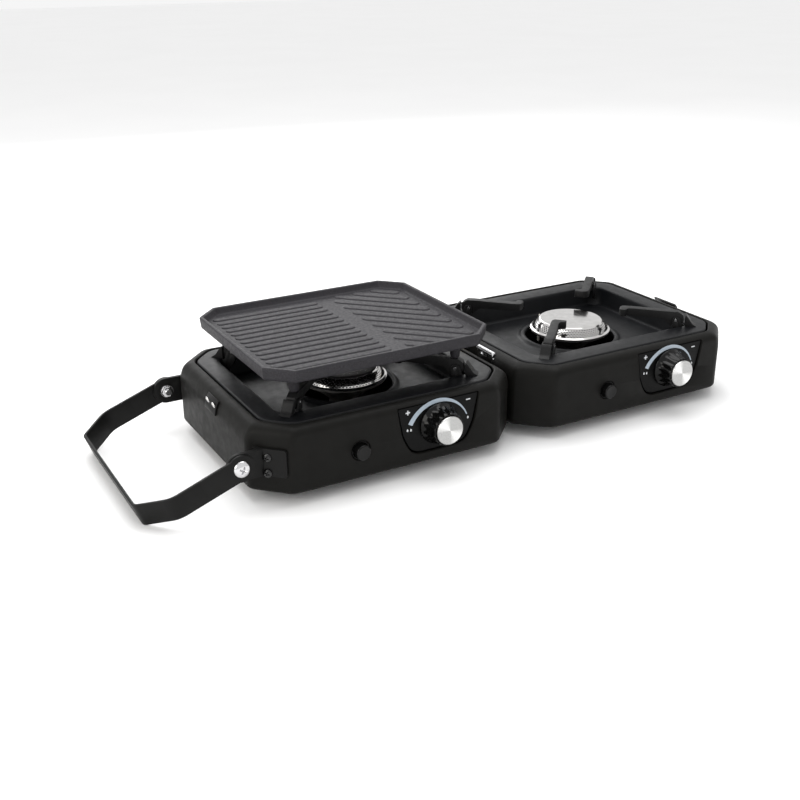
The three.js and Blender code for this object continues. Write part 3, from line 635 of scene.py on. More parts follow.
def build_support(side, corner):
    """A cast pan support: a slender bar with a hooked tip, and a deep outer end round its steel pin."""
    s = {key: value / MM for key, value in SUPPORT.items()}
    p, pz, top, tip, half = s["pivot"], s["pivot_z"], s["top"], s["tip"], s["width"] / 2
    hand, lean = HOOK_HAND[corner], 4.7
    corners = [(tip, top), (tip, top - 8.5), (p - 13, top - 9.7), (p - 5.5, pz - 7.4), (p + 5, pz - 7.4),
               (p + 10.1, pz),
               (p + 8.0, pz + 6.6), (p + 2.5, top)]
    outline = fillet(mm(corners), [r * MM for r in (2.5, 3, 20, 6, 6, 7, 3, 5)])
    obj = extrude(f"{side}_pan_support_{corner}", outline, -20 * MM, 20 * MM)
    plan = [(p - 7, -half), (p + 11, -half), (p + 11, half), (p - 7, half), (tip + 15, half - lean),
            (tip + 9.4, 1),
            (tip + 8, 7), (tip + 0.6, 7), (tip - 0.2, 0), (tip + 2.6, -half - lean), (tip + 14, -half - lean)]
    bends = [r * MM for r in (20, 0.1, 0.1, 20, 20, 6, 4.2, 4.2, 14, 9, 20)]
    footprint = fillet([(x * MM, hand * w * MM) for x, w in plan], bends)
    keep_common(obj, extrude("tool", footprint, 70 * MM, 110 * MM, "XY"))
    bevel(obj, 2.0 * MM, 5, 50)
    smooth(obj, 50)
    body = f"right_support_{corner}" if side == "right" else "left_module"
    pin = lathe(f"{side}_support_pin_{corner}", [(0, -7.15 * MM), (1.7 * MM, -7.15 * MM), (2 * MM, -6.8 * MM),
                (2 * MM, 6.8 * MM), (1.7 * MM, 7.15 * MM), (0, 7.15 * MM)], 24, "Y")
    move(smooth(pin), p * MM, 0, pz * MM)
    for part in (obj, pin):
        turn_z(part, SUPPORT_ANGLE[corner])
        move(part, *AXIS[side])
    piece(obj, body, "cast_support", CAST, f"{side}_support_{corner}")
    piece(pin, body, "chrome_hardware", CHROME)


# ------------------------------------------------------------------ burner


def build_burner_cap(side):
    """The stainless cap: a plain disc, a rolled shoulder, a perforated wall and a thin flange."""
    columns, rows = HOLES["columns"], HOLES["rows"]
    disc, flange, foot_z = BURNER["disc"] - 0.6 * MM, BURNER["flange"], BURNER["flange_z"]
    wall_top, wall_low = (disc + 1.0 * MM, 81.0 * MM), (45.4 * MM, 73.0 * MM)
    verts, faces = [], []

    def wall(u, v):
        radius = wall_low[0] + (wall_top[0] - wall_low[0]) * v + 0.9 * MM * math.sin(math.pi * v)
        angle = 2 * math.pi * u / columns
        return (radius * math.cos(angle), radius * math.sin(angle),
                wall_low[1] + (wall_top[1] - wall_low[1]) * v)

    for row in range(rows):
        for column in range(columns):
            start = len(verts)
            u0 = column + (0.5 if row % 2 else 0.0)
            border = [(0, 0), (0.5, 0), (1, 0), (1, 0.5), (1, 1), (0.5, 1), (0, 1), (0, 0.5)]
            for du, dv in border:
                verts.append(wall(u0 + du, (row + dv) / rows))
            for du, dv in border:
                turn = math.atan2(dv - 0.5, du - 0.5)
                u = u0 + 0.5 + HOLES["half_width"] * math.cos(turn)
                v = row + 0.5 + HOLES["half_height"] * math.sin(turn)
                verts.append(wall(u, v / rows))
            for i in range(8):
                j = (i + 1) % 8
                faces.append((start + i, start + j, start + 8 + j, start + 8 + i))
    segments = columns * 2

    def hoop(radius, z):
        first = len(verts)
        for i in range(segments):
            angle = math.pi * i / columns
            verts.append((radius * math.cos(angle), radius * math.sin(angle), z))
        return first

    def band(profile):
        hoops = [hoop(r, z) for r, z in profile]
        for a, b in zip(hoops, hoops[1:]):
            for i in range(segments):
                j = (i + 1) % segments
                faces.append((a + i, a + j, b + j, b + i))
        return hoops[-1]

    band([(flange, foot_z - 0.9 * MM), (flange, foot_z - 0.3 * MM), (flange - 0.5 * MM, foot_z),
          (wall_low[0] + 0.9 * MM, foot_z + 0.15 * MM), (wall_low[0] + 0.25 * MM, foot_z + 0.6 * MM),
          wall_low])
    last = band([wall_top, (disc + 0.7 * MM, 81.8 * MM), (disc + 0.1 * MM, 82.5 * MM),
                 (disc - 0.8 * MM, 82.9 * MM),
                 (disc - 2.0 * MM, 83.0 * MM), (disc - 8 * MM, 83.03 * MM), (20 * MM, 83.06 * MM),
                 (8 * MM, 83.08 * MM)])
    faces.append(tuple(last + i for i in range(segments)))
    obj = mesh_object(f"{side}_flame_cap", verts, faces)
    edit(obj, lambda bm: bmesh.ops.remove_doubles(bm, verts=bm.verts, dist=2e-6))
    edit(obj, lambda bm: bmesh.ops.recalc_face_normals(bm, faces=bm.faces))
    solid = obj.modifiers.new("sheet", "SOLIDIFY")
    solid.thickness = 0.5 * MM
    solid.offset = -1
    apply_modifiers(obj)
    move(smooth(obj, 35), *AXIS[side])
    return piece(obj, f"{side}_module", "stainless", STEEL, f"{side}_burner_cap")


def build_gauze(side):
    """The dark gauze basket under the cap, seen through its holes."""
    profile = [(0, 79.6), (34.0, 79.6), (36.6, 78.4), (41.6, 73.4), (42.6, 72.4), (41.6, 72.4),
               (35.8, 77.4), (0, 78.6)]
    obj = lathe(f"{side}_gauze", mm(profile), 96)
    move(smooth(obj), *AXIS[side])
    return piece(obj, f"{side}_module", "burner_alloy", SOOT)


# ------------------------------------------------------------------ controls


def build_bezel(side):
    face = FRONT + BEZEL["face"]
    obj = extrude(f"{side}_control_panel", bezel_outline(-0.7 * MM), face, face + 2 * MM)
    cut(obj, extrude("tool", circle(5 * MM, KNOB["x"], KNOB["z"]), face - MM, face + 6 * MM))
    bevel(obj, 0.5 * MM, 3)
    move(smooth(obj), *AXIS[side])
    return piece(obj, f"{side}_module", "panel", PANEL, f"{side}_bezel")


def printed(name, outline, side, look):
    """A thin printed mark on the control panel; its outline is drawn about the left module's axis."""
    face = FRONT + BEZEL["face"]
    obj = extrude(name, outline, face - 0.12 * MM, face + 0.05 * MM)
    move(smooth(obj), *AXIS[side])
    return piece(obj, f"{side}_module", "panel", look)


def build_marks(side):
    """The tapering scale over the knob, a plus, a minus and three flame dots."""
    x, z, radius = KNOB["x"], SCALE_CENTRE_Z, 37.4 * MM
    outer, inner = [], []
    for step in range(49):
        t = step / 48
        angle = math.radians(153 - 130 * t)
        thick = (4.3 * (1 - t) ** 1.6 + 2.4 * (1 - abs(2 * t - 1)) ** 0.9 * 0.75 + 1.1) * MM
        outer.append((x + (radius + thick / 2) * math.cos(angle), z + (radius + thick / 2) * math.sin(angle)))
        inner.append((x + (radius - thick / 2) * math.cos(angle), z + (radius - thick / 2) * math.sin(angle)))
    printed(f"{side}_printed_scale", outer + inner[::-1], side, SCALE_PRINT)

    def bar(cx, cz, half_w, half_h):
        return [(cx - half_w, cz - half_h), (cx + half_w, cz - half_h), (cx + half_w, cz + half_h),
                (cx - half_w, cz + half_h)]

    px, mx, mark_z = x - 36.2 * MM, x + 35.8 * MM, 72 * MM
    long, thin = 2.5 * MM, 0.65 * MM
    plus = [(px - long, mark_z - thin), (px - thin, mark_z - thin), (px - thin, mark_z - long),
            (px + thin, mark_z - long),
            (px + thin, mark_z - thin), (px + long, mark_z - thin), (px + long, mark_z + thin),
            (px + thin, mark_z + thin),
            (px + thin, mark_z + long), (px - thin, mark_z + long), (px - thin, mark_z + thin),
            (px - long, mark_z + thin)]
    printed(f"{side}_printed_plus", plus, side, PRINT)
    printed(f"{side}_printed_minus", bar(mx, mark_z, 2.6 * MM, thin), side, PRINT)
    flames = {"low": (x + 36.0 * MM, 51.6 * MM), "high_a": (x - 36.6 * MM, 52.6 * MM),
              "high_b": (x - 32.6 * MM, 52.2 * MM)}
    for label, (fx, fz) in flames.items():
        drop = fillet([(fx, fz + 2.1 * MM), (fx - 1.1 * MM, fz - 0.2 * MM), (fx - 0.7 * MM, fz - 1.4 * MM),
                       (fx + 0.7 * MM, fz - 1.4 * MM), (fx + 1.1 * MM, fz - 0.2 * MM)], 0.5 * MM, 3)
        printed(f"{side}_printed_flame_{label}", drop, side, PRINT)


def build_knob(side):
    """The fluted knob: a flared skirt, a groove and a tapering grip with finger flutes."""
    front, back = FRONT - 19.5 * MM, FRONT + BEZEL["face"] - 0.8 * MM
    profile = [(0, front + 0.4 * MM), (15.6 * MM, front + 0.4 * MM), (16.2 * MM, front),
               (17.0 * MM, front + 0.2 * MM),
               (17.5 * MM, front + 0.9 * MM), (18.2 * MM, front + 5 * MM), (19.0 * MM, front + 10 * MM),
               (19.9 * MM, front + 14.4 * MM), (20.2 * MM, front + 15.2 * MM), (21.0 * MM, back - 3.2 * MM),
               (22.1 * MM, back - 2.2 * MM), (22.5 * MM, back - 1.2 * MM), (22.4 * MM, back), (0, back)]
    grip = {4: 0.25, 5: 0.5, 6: 0.55, 7: 0.4, 8: 0.1}
    flutes = 16

    def wobble(index, angle):
        return -grip.get(index, 0.0) * MM * (1 + math.cos(flutes * angle))

    obj = lathe(f"{side}_control_knob", profile, 240, "Y", wobble)
    smooth(obj, 38)
    move(obj, KNOB["x"], 0, KNOB["z"])
    move(obj, *AXIS[side])
    piece(obj, f"{side}_knob", "control_plastic", GLOSS, f"{side}_knob")


def build_knob_cap(side):
    """The bright face of the knob: a shallow dished disc with a bevelled rim."""
    cap = [(0, 0.35), (10, 0.28), (13.6, 0.12), (14.1, 0.0), (14.7, 0.05), (15.15, 0.45), (15.3, 0.9),
           (15.3, 2.3), (0, 2.3)]
    obj = lathe(f"{side}_knob_face", mm(cap), 96, "Y")
    smooth(obj, 30)
    low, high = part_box(f"{side}_knob_cap")
    obj.location = ((low.x + high.x) / 2, low.y, (low.z + high.z) / 2)
    piece(obj, f"{side}_knob", "knob_cap", SPUN_PAINTED_SHEEN, f"{side}_knob_cap")


def build_igniter(side):
    """The push button with its domed face, and the sleeve it slides in."""
    face = -IGNITER["proud"] / MM
    r = IGNITER["radius"] / MM
    button = [(0, face + 0.5), (r - 4, face + 0.35), (r - 2.0, face + 0.05), (r - 1.2, face),
              (r - 0.4, face + 0.5), (r, face + 1.3),
              (r, 12), (0, 12)]
    obj = lathe(f"{side}_push_button", [(a * MM, FRONT + h * MM) for a, h in button], 72, "Y")
    sleeve_r = IGNITER["sleeve"] / MM
    sleeve = [(0, 17), (r + 0.5, 16), (r + 0.5, 1.1), (r + 0.9, 0.55), (sleeve_r - 0.3, 0.6), (sleeve_r, 1.0),
              (sleeve_r, 34), (6, 36), (6, 48), (0, 48)]
    barrel = lathe(f"{side}_igniter_barrel", [(a * MM, FRONT + h * MM) for a, h in sleeve], 72, "Y")
    for part in (obj, barrel):
        smooth(part, 35)
        move(part, IGNITER["x"], 0, IGNITER["z"])
        move(part, *AXIS[side])
    piece(obj, f"{side}_igniter", "control_plastic", GLOSS, f"{side}_igniter_button")
    piece(barrel, f"{side}_module", "control_plastic", GLOSS, f"{side}_igniter_body")


# ------------------------------------------------------------------ griddle


def griddle_loop(inset, z, corner=3.0):
    g = GRIDDLE_SIZE
    points = octagon(g["half_x"], g["half_y"], g["chamfer"], inset, inset, max(corner - inset * 0.3, 1.2), 6)
    return [(x * MM, y * MM, z * MM) for x, y in points]


def ridge(start, end, width):
    """A low bar with rounded edges and ends on the cooking surface, from start to end, in millimetres."""
    direction = (Vector(end) - Vector(start)).normalized()
    side = Vector((-direction.y, direction.x))
    loops = []
    for inset, z in ((0.0, 126.2), (0.1, 126.7), (0.5, 127.1), (1.1, 127.4), (1.8, 127.55), (2.8, 127.6)):
        half = width / 2 - inset
        loop = []
        for centre, facing in ((end, -90), (start, 90)):
            for step in range(9):
                angle = math.radians(facing + 180 * step / 8)
                point = Vector(centre) + half * (math.cos(angle) * direction + math.sin(angle) * side)
                loop.append((point.x * MM, point.y * MM, z * MM))
        loops.append(loop)
    return rings("ridge", loops)


def clip(point, direction, planes):
    """The stretch of a line inside the half planes (nx, ny, distance), or nothing."""
    low, high = -1e3, 1e3
    for nx, ny, distance in planes:
        run = nx * direction[0] + ny * direction[1]
        room = distance - nx * point[0] - ny * point[1]
        if abs(run) < 1e-9:
            if room < 0:
                return None
        elif run > 0:
            high = min(high, room / run)
        else:
            low = max(low, room / run)
    if high - low < 8:
        return None

    def at(t):
        return (point[0] + t * direction[0], point[1] + t * direction[1])

    return at(low), at(high)


def well_planes(margin, left, right):
    g = GRIDDLE_SIZE
    half_root = math.sqrt(0.5)
    diagonal = (g["half_x"] + g["half_y"] - g["chamfer"]) * half_root - margin
    planes = [(0, 1, g["half_y"] - margin), (0, -1, g["half_y"] - margin), (1, 0, right), (-1, 0, -left)]
    planes += [(a * half_root, b * half_root, diagonal) for a in (1, -1) for b in (1, -1)]
    return planes


def build_griddle():
    profile = [(7.0, 120.6), (2.6, 120.65), (1.7, 121.3), (1.2, 122.6), (0.15, 132.2), (0.3, 133.3),
               (0.9, 133.85), (1.8, 133.9),
               (3.6, 133.8), (4.3, 133.2), (4.7, 132.2), (6.4, 128.2), (7.2, 127.1), (8.6, 126.55),
               (10.0, 126.5)]
    parts = [rings("plate", [griddle_loop(inset, z) for inset, z in profile])]
    straight, slanted = STRAIGHT_RIDGES, SLANTED_RIDGES
    for row in range(straight["count"]):
        y = straight["first_y"] + straight["pitch"] * row
        stretch = clip((0, y), (1, 0), well_planes(straight["margin"], -109, 8))
        if stretch:
            parts.append(ridge(*stretch, straight["width"]))
    slope = (math.sqrt(0.5), -math.sqrt(0.5))
    for row in range(-slanted["reach"], slanted["reach"] + 1):
        offset = row * slanted["pitch"]
        centre = (slanted["centre_x"] + offset * math.sqrt(0.5), offset * math.sqrt(0.5))
        stretch = clip(centre, slope, well_planes(slanted["margin"], 37, 109))
        if stretch:
            parts.append(ridge(*stretch, slanted["width"]))
    for corner, angle in SUPPORT_ANGLE.items():
        leg = lathe("leg", [(0, 100.3 * MM), (3.6 * MM, 100.3 * MM), (4.4 * MM, 100.9 * MM),
                            (5 * MM, 102.5 * MM),
                            (6.2 * MM, 119.5 * MM), (8 * MM, 121.2 * MM), (0, 121.2 * MM)], 40)
        reach = 124 * MM
        parts.append(move(leg, reach * math.cos(math.radians(angle)), reach * math.sin(math.radians(angle))))
    obj = merge("griddle", parts)
    move(smooth(obj, 40), *AXIS["left"])
    piece(obj, "griddle", "griddle_coating", GRIDDLE, "griddle_plate")


# ------------------------------------------------------------------ handle, brackets and bolts


def build_handle():
    """A flat steel strap: two arms with round ends, bent in to a straight grip."""
    half, wide = STRAP_HALF, 12.0
    arm_y = HANDLE["arm_y"] / MM
    straight, reach, cross = 72.0, 102.0, 90.0
    centre_line = [(-40.0, arm_y), (-straight, arm_y), (-reach, cross), (-reach, -cross),
                   (-straight, -arm_y), (-40.0, -arm_y)]
    outer = offset_line(centre_line, -half)
    inner = offset_line(centre_line, half)
    bend = [0.01, 22.0 + half, 9.0 + half, 9.0 + half, 22.0 + half, 0.01]
    bend_in = [0.01, 22.0 - half, 9.0 - half, 9.0 - half, 22.0 - half, 0.01]
    outline = fillet(outer + inner[::-1], bend + bend_in[::-1], 8)
    bail = extrude("handle_strap", mm(outline), -wide * MM, wide * MM, "XY")
    arms = []
    lobe = 14.0
    for hand in (-1, 1):
        tangent = math.asin(wide / lobe)
        round_end = [(lobe * math.cos(a), lobe * math.sin(a)) for a in
                     (math.pi - tangent - (2 * math.pi - 2 * tangent) * i / 40 for i in range(41))]
        side = [(-41.0, wide)] + round_end + [(-41.0, -wide)]
        y = hand * arm_y
        arms.append(extrude("arm", mm(side), (y - half) * MM, (y + half) * MM))
    unite(bail, *arms)
    cut(bail, extrude("tool", circle(4.1 * MM), -0.2, 0.2))
    bevel(bail, 0.5 * MM, 2, 40)
    smooth(bail, 35)
    transform(bail, Matrix.Rotation(-math.radians(HANDLE["droop"]), 4, "Y"))
    move(bail, HANDLE["pivot_x"], 0, HANDLE["pivot_z"])
    move(bail, *AXIS["left"])
    piece(bail, "handle", "handle_steel", STRAP, "handle")


def offset_line(points, distance):
    """An open line of points moved sideways by distance, with its corners mitred."""
    result = []
    for i, point in enumerate(points):
        here = Vector(point)
        normals = []
        if i > 0:
            d = (here - Vector(points[i - 1])).normalized()
            normals.append(Vector((-d.y, d.x)))
        if i + 1 < len(points):
            d = (Vector(points[i + 1]) - here).normalized()
            normals.append(Vector((-d.y, d.x)))
        total = sum(normals, Vector((0, 0)))
        result.append(tuple(here + total * (distance * len(normals) / total.length_squared)))
    return result


def mirror_y(obj):
    transform(obj, Matrix.Scale(-1, 4, Vector((0, 1, 0))))
    edit(obj, lambda bm: bmesh.ops.recalc_face_normals(bm, faces=bm.faces))
    return obj


def corner_frame():
    """The middle of the front left corner face and its outward direction, about the left axis."""
    outward = Vector((-1, -1, 0)).normalized()
    along_face = Vector((1, -1, 0)).normalized()
    centre = Vector((-HALF_X + CHAMFER / 2, -HALF_Y + CHAMFER / 2, 0))
    return centre, outward, along_face


def build_bracket(end):
    """The angled bracket that carries a pivot: a plate on the corner face and an ear beside the arm."""
    pivot_x, pivot_z = HANDLE["pivot_x"] / MM, HANDLE["pivot_z"] / MM
    half_x = HALF_X / MM
    near = -HANDLE["arm_y"] / MM + STRAP_HALF + STRAP_GAP
    radius, root, thickness = EAR["radius"], EAR["root"], EAR["thickness"]
    ear = [(pivot_x + radius * math.cos(a), pivot_z + radius * math.sin(a)) for a in
           (math.pi / 2 + math.pi * i / 28 for i in range(29))]
    ear += [(-half_x + root, pivot_z - radius), (-half_x + root, pivot_z + radius)]
    obj = extrude(f"{end}_handle_bracket", mm(ear), near * MM, (near + thickness) * MM)
    centre, outward, along_face = corner_frame()
    plate = rings("plate", plate_loops(centre, outward, along_face, pivot_z))
    trim = extrude("tool", [(-0.4, -0.1), (-HALF_X - 3 * MM, -0.1), (-HALF_X - 3 * MM, 0.2), (-0.4, 0.2)],
                   -0.4, 0.0)
    cut(plate, trim)
    unite(obj, plate)
    cut(obj, extrude("tool", circle(4.1 * MM, pivot_x * MM, pivot_z * MM, 40), (near - 2) * MM,
                     (near + 8) * MM))
    bevel(obj, 0.5 * MM, 2, 40)
    smooth(obj, 35)
    screws = [bracket_screw(f"{end}_bracket_screw_{label}", centre, outward, z) for label,
              z in (("low", 36.2), ("high", 52.8))]
    for part in (obj, *screws):
        if end == "back":
            mirror_y(part)
        move(part, *AXIS["left"])
    piece(obj, "left_module", "handle_steel", STRAP, f"handle_bracket_{end}")
    for screw in screws:
        piece(screw, "left_module", "handle_steel", SCREW)


def plate_loops(centre, outward, along_face, pivot_z):
    """The bracket's plate on the corner face: its outline near the face and 3 mm out from it."""
    loops = []
    low, high = pivot_z - EAR["radius"], pivot_z + EAR["radius"]
    for depth in (0.3 * MM, 3.3 * MM):
        loop = []
        for t, z in fillet([(-14.4, low), (19.0, low), (19.0, high), (-14.4, high)], [0.1, 3, 3, 0.1]):
            point = centre + outward * depth + along_face * (t * MM)
            loop.append((point.x, point.y, z * MM))
        loops.append(loop)
    return loops


def cross_recess(size, depth, axis_y):
    """A cutter for a cross recess, pointing into +Y at a head whose face is at axis_y."""
    arms = []
    for turn in (0, 90):
        loops = []
        for y, grow in ((axis_y - 1 * MM, 1.15), (axis_y + depth, 0.55)):
            half, thin = size * grow / 2, size * 0.13 * grow
            box = [(-half, -thin), (half, -thin), (half, thin), (-half, thin)]
            spin = Matrix.Rotation(math.radians(turn), 2)
            loops.append([((spin @ Vector(p)).x, y, (spin @ Vector(p)).y) for p in box])
        arms.append(rings("tool", loops))
    return unite(*arms)


def bracket_screw(name, centre, outward, z):
    head = [(0, 0.0), (2.4, 0.12), (3.6, 0.5), (4.4, 1.2), (4.6, 2.0), (4.6, 2.6), (0, 2.6)]
    obj = lathe(name, mm(head), 48, "Y")
    cut(obj, cross_recess(5.4 * MM, 1.8 * MM, 0))
    bevel(obj, 0.12 * MM, 1, 50)
    smooth(obj, 35)
    transform(obj, Matrix.Rotation(math.radians(20), 4, "Y"))
    turn_z(obj, -45)
    place = centre + outward * (5.8 * MM) - Vector((1, -1, 0)).normalized() * (0.6 * MM)
    return move(obj, place.x, place.y, z * MM)


def build_pivot_bolt(end):
    """A bright pan-head bolt with a cross recess outside, and its nut inside the ear."""
    outside = -HANDLE["arm_y"] / MM - STRAP_HALF - STRAP_GAP
    inside = -HANDLE["arm_y"] / MM + STRAP_HALF + STRAP_GAP + EAR["thickness"] + STRAP_GAP
    head = [(0, outside - 3.9), (2.4, outside - 3.82), (4.6, outside - 3.5), (6.4, outside - 2.85),
            (7.7, outside - 1.9),
            (8.5, outside - 0.8), (8.8, outside - 0.2), (8.8, outside), (4, outside), (4, inside + 6.4),
            (3.4, inside + 7), (0, inside + 7)]
    obj = lathe(f"{end}_pivot_bolt", mm(head), 72, "Y")
    recess = cross_recess(8.6 * MM, 2.8 * MM, (outside - 3.9) * MM)
    transform(recess, Matrix.Rotation(math.radians(25), 4, "Y"))
    cut(obj, recess)
    bevel(obj, 0.2 * MM, 2, 50)
    hexagon = circle(6.4 * MM, steps=6)
    washer = lathe("washer", [(4.2 * MM, inside * MM), (7.4 * MM, inside * MM),
                              (7.6 * MM, (inside + 0.3) * MM),
                              (7.4 * MM, (inside + 1.2) * MM), (4.2 * MM, (inside + 1.2) * MM)], 48, "Y")
    nut = extrude("nut", hexagon, (inside + 1.2) * MM, (inside + 4.5) * MM)
    keep_common(nut, lathe("tool", [(0, inside * MM), (6.6 * MM, inside * MM),
                                    (6.6 * MM, (inside + 3.8) * MM),
                                    (5.2 * MM, (inside + 5) * MM), (0, (inside + 5) * MM)], 48, "Y"))
    bevel(nut, 0.15 * MM, 1, 40)
    nut = merge(f"{end}_pivot_nut", [nut, washer])
    for part in (obj, nut):
        smooth(part, 35)
        move(part, HANDLE["pivot_x"], 0, HANDLE["pivot_z"])
        if end == "back":
            mirror_y(part)
        move(part, *AXIS["left"])
    piece(obj, "left_module", "chrome_hardware", CHROME, f"pivot_bolt_{end}")
    piece(nut, "left_module", "chrome_hardware", CHROME)


# ------------------------------------------------------------------ hinges, catch, latch


def build_hinge(end):
    """A butt hinge: rolled knuckles on two leaves and a headed pin."""
    pin_low, pin_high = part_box(f"hinge_pin_{end}")
    low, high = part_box(f"hinge_leaf_left_{end}")
    x, z = (pin_low.x + pin_high.x) / 2, (pin_low.z + pin_high.z) / 2
    y, half = (low.y + high.y) / 2, (high.y - low.y) / 2
    quarter, gap = half / 2, 0.15 * MM
    leaf, barrel = 1.3 * MM, 3.2 * MM
    spans = {"left": [(-half, -quarter - gap), (quarter + gap, half)],
             "right": [(-quarter + gap, quarter - gap)]}
    for hand, name in ((-1, "left"), (1, "right")):
        parts = []
        for start, stop in spans[name]:
            ring = [(1.7 * MM, start), (barrel - 0.3 * MM, start), (barrel, start + 0.3 * MM),
                    (barrel, stop - 0.3 * MM), (barrel - 0.3 * MM, stop), (1.7 * MM, stop)]
            parts.append(move(lathe("knuckle", ring, 40, "Y"), 0, 0, z))
            inner, outer = hand * 0.2 * MM, hand * (0.2 * MM + leaf)
            neck = [(min(inner, outer), z - 12 * MM), (max(inner, outer), z - 12 * MM),
                    (max(inner, outer), z - 2 * MM), (min(inner, outer), z - 2 * MM)]
            parts.append(extrude("neck", neck, start, stop))
        wing = [(min(inner, outer), low.z), (max(inner, outer), low.z), (max(inner, outer), z - 5.4 * MM),
                (min(inner, outer), z - 5.4 * MM)]
        parts.append(extrude("wing", wing, -half, half))
        first, rest = parts[0], parts[1:]
        unite(first, *rest)
        obj = first
        obj.name = f"{end}_hinge_leaf_{name}"
        move(smooth(obj, 35), x, y, 0)
        piece(obj, f"{name}_module", "chrome_hardware", CHROME, f"hinge_leaf_{name}_{end}")
    front = -half - 0.3 * MM
    pin = lathe(f"{end}_hinge_rod", [(0, front - 1.5 * MM), (2.2 * MM, front - 1.4 * MM),
                                     (3.0 * MM, front - 0.9 * MM),
                                     (3.2 * MM, front - 0.4 * MM), (3.2 * MM, front), (1.6 * MM, front),
                                     (1.6 * MM, half + 0.6 * MM),
                                     (1.2 * MM, half + 1 * MM), (0, half + 1 * MM)], 40, "Y")
    move(smooth(pin, 35), x, y, z)
    piece(pin, "left_module", "chrome_hardware", CHROME, f"hinge_pin_{end}")


def shoulder_line(offset, low, high, steps):
    """Points (x, z) that follow the end wall and its shoulder, offset outside it."""
    points = []
    for step in range(steps + 1):
        z = low + (high - low) * step / steps
        slope = (shoulder(z + 0.5 * MM, SIDE_INSET, SIDE_DROP) - shoulder(z - 0.5 * MM, SIDE_INSET,
                                                                          SIDE_DROP)) / MM
        size = math.hypot(1, slope)
        points.append((HALF_X - shoulder(z, SIDE_INSET, SIDE_DROP) + offset / size,
                       z + offset * slope / size))
    return points


def build_catch():
    """The riveted plate over the left shoulder that the latch hooks on."""
    low, high = CATCH["low"], CATCH["high"]
    outer = shoulder_line(1.9 * MM, low, high, 20)
    inner = shoulder_line(0.3 * MM, low, high, 20)
    left, right = CATCH["y"] - CATCH["half"], CATCH["y"] + CATCH["half"]
    obj = extrude("catch_cover", [(-x, z) for x, z in outer + inner[::-1]], left, right)
    bevel(obj, 0.6 * MM, 3, 40)
    smooth(obj, 35)
    move(obj, *AXIS["left"])
    piece(obj, "left_module", "handle_steel", STRAP, "catch_plate")
    at_z = RIVET["z"]
    x = -HALF_X + shoulder(at_z, SIDE_INSET, SIDE_DROP) - 1.95 * MM
    for label, y in (("front", CATCH["y"] - RIVET["spacing"]), ("back", CATCH["y"] + RIVET["spacing"])):
        rivet = lathe(f"catch_rivet_{label}", [(0, -0.9 * MM), (2.6 * MM, -0.8 * MM),
                                               (3.8 * MM, -0.45 * MM), (4.2 * MM, 0.1 * MM),
                                               (4.2 * MM, 0.5 * MM), (0, 0.5 * MM)], 40)
        transform(rivet, Matrix.Rotation(math.radians(90 - RIVET["tilt"]), 4, "Y"))
        move(smooth(rivet, 35), x, y, at_z)
        move(rivet, *AXIS["left"])
        piece(rivet, "left_module", "chrome_hardware", STEEL)


def build_latch():
    """CAD's latch with its edges softened: the base with its ears, and the hooked lever."""
    for node, body in (("latch_base", "right_module"), ("latch_lever", "latch")):
        source = nodes[node]
        obj = link(f"{node}_soft", source.data.copy())
        edit(obj, lambda bm: bmesh.ops.remove_doubles(bm, verts=bm.verts, dist=1e-6))
        edit(obj, lambda bm: bmesh.ops.dissolve_limit(bm, angle_limit=math.radians(1), verts=bm.verts,
                                                      edges=bm.edges))
        bevel(obj, 0.4 * MM, 2, 40)
        smooth(obj, 35)
        piece(obj, body, "handle_steel", STRAP, node)


# ------------------------------------------------------------------ hidden CAD nodes that stay

STAYING = {
    "base_plate": HOUSING,
    "burner_body": ALLOY,
    "electrode": CERAMIC,
    "valve": BRASS,
}


def dress_frame():
    for side in SIDES:
        for part, look in STAYING.items():
            dress(f"{side}_{part}", look)
        for corner in CORNERS:
            dress(f"{side}_foot_{corner}", RUBBER)
    for name in ("gas_union_left", "gas_union_right", "gas_inlet"):
        dress(name, BRASS)


def dress(node, look):
    obj = nodes[node]
    while len(obj.material_slots) < 1:
        obj.data.materials.append(None)
    for slot in obj.material_slots:
        slot.material = look


# ------------------------------------------------------------------ camera, floor and light


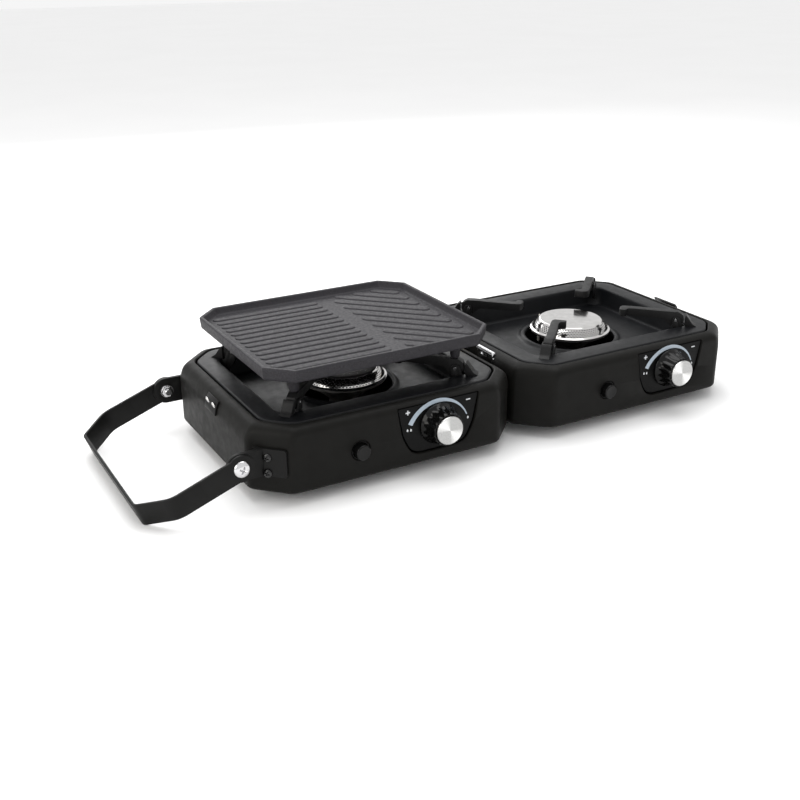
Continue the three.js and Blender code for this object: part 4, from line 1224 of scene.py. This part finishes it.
def build_camera():
    """A 48 mm view from the front left, above the stove."""
    data = bpy.data.cameras.new("camera")
    data.sensor_width = 36.0
    data.lens = 48.32
    camera = link("camera", data)
    eye = Vector((SHELL_LOW.x - 0.32937, SHELL_LOW.y - 0.85584, BOTTOM + 0.49618))
    yaw, pitch, roll = 0.51281, 0.40330, -0.005027
    look = Vector((math.sin(yaw) * math.cos(pitch), math.cos(yaw) * math.cos(pitch), -math.sin(pitch)))
    right = look.cross(Vector((0, 0, 1))).normalized()
    up = right.cross(look)
    right, up = right * math.cos(roll) + up * math.sin(roll), up * math.cos(roll) - right * math.sin(roll)
    camera.matrix_world = Matrix.Translation(eye) @ Matrix((right, up, -look)).transposed().to_4x4()
    bpy.context.scene.camera = camera


def build_stage():
    floor = mesh_object("floor", [(-9, -9, 0), (9, -9, 0), (9, 9, 0), (-9, 9, 0)], [(0, 1, 2, 3)])
    look, tree, shader = principled("floor", (0.94, 0.94, 0.94), 0.8, specular=0.1)
    tree.links.new(spread(tree, noise(tree, 3, 2), (0.935, 0.935, 0.935), (0.95, 0.95, 0.95)),
                   shader.inputs["Base Color"])
    floor.data.materials.append(look)


def area_light(name, place, target, size, power, color=(1, 1, 1)):
    data = bpy.data.lights.new(name, "AREA")
    data.shape = "RECTANGLE"
    data.size, data.size_y = size
    data.energy = power
    data.color = color
    lamp = link(name, data)
    direction = Vector(target) - Vector(place)
    lamp.location = place
    lamp.rotation_euler = direction.to_track_quat("-Z", "Y").to_euler()


def build_light():
    world = bpy.data.worlds.new("studio")
    bpy.context.scene.world = world
    world.use_nodes = True
    background = world.node_tree.nodes["Background"]
    background.inputs["Color"].default_value = (1.0, 1.0, 1.0, 1)
    background.inputs["Strength"].default_value = 0.92
    bpy.context.scene.view_settings.view_transform = "Standard"
    area_light("top", (0.1, 0.3, 1.6), (0, 0, 0), (1.6, 1.2), 18)
    area_light("back", (0.3, 1.7, 0.9), (0.1, 0, 0.05), (1.8, 0.8), 12)
    area_light("left", (-1.6, -0.3, 0.7), (-0.1, 0, 0.05), (0.9, 0.9), 8, (1.0, 0.97, 0.92))


# ------------------------------------------------------------------ assembly

build_camera()
build_stage()
build_light()
for side in SIDES:
    build_shell(side)
    build_tray(side)
    for corner in CORNERS:
        build_lugs(side, corner)
        build_stop(side, corner)
        build_support(side, corner)
    build_burner_cap(side)
    build_gauze(side)
    build_bezel(side)
    build_marks(side)
    build_knob(side)
    build_knob_cap(side)
    build_igniter(side)
build_griddle()
build_handle()
for end in ("front", "back"):
    build_bracket(end)
    build_pivot_bolt(end)
    build_hinge(end)
build_catch()
build_latch()
dress_frame()

bpy.context.view_layer.update()
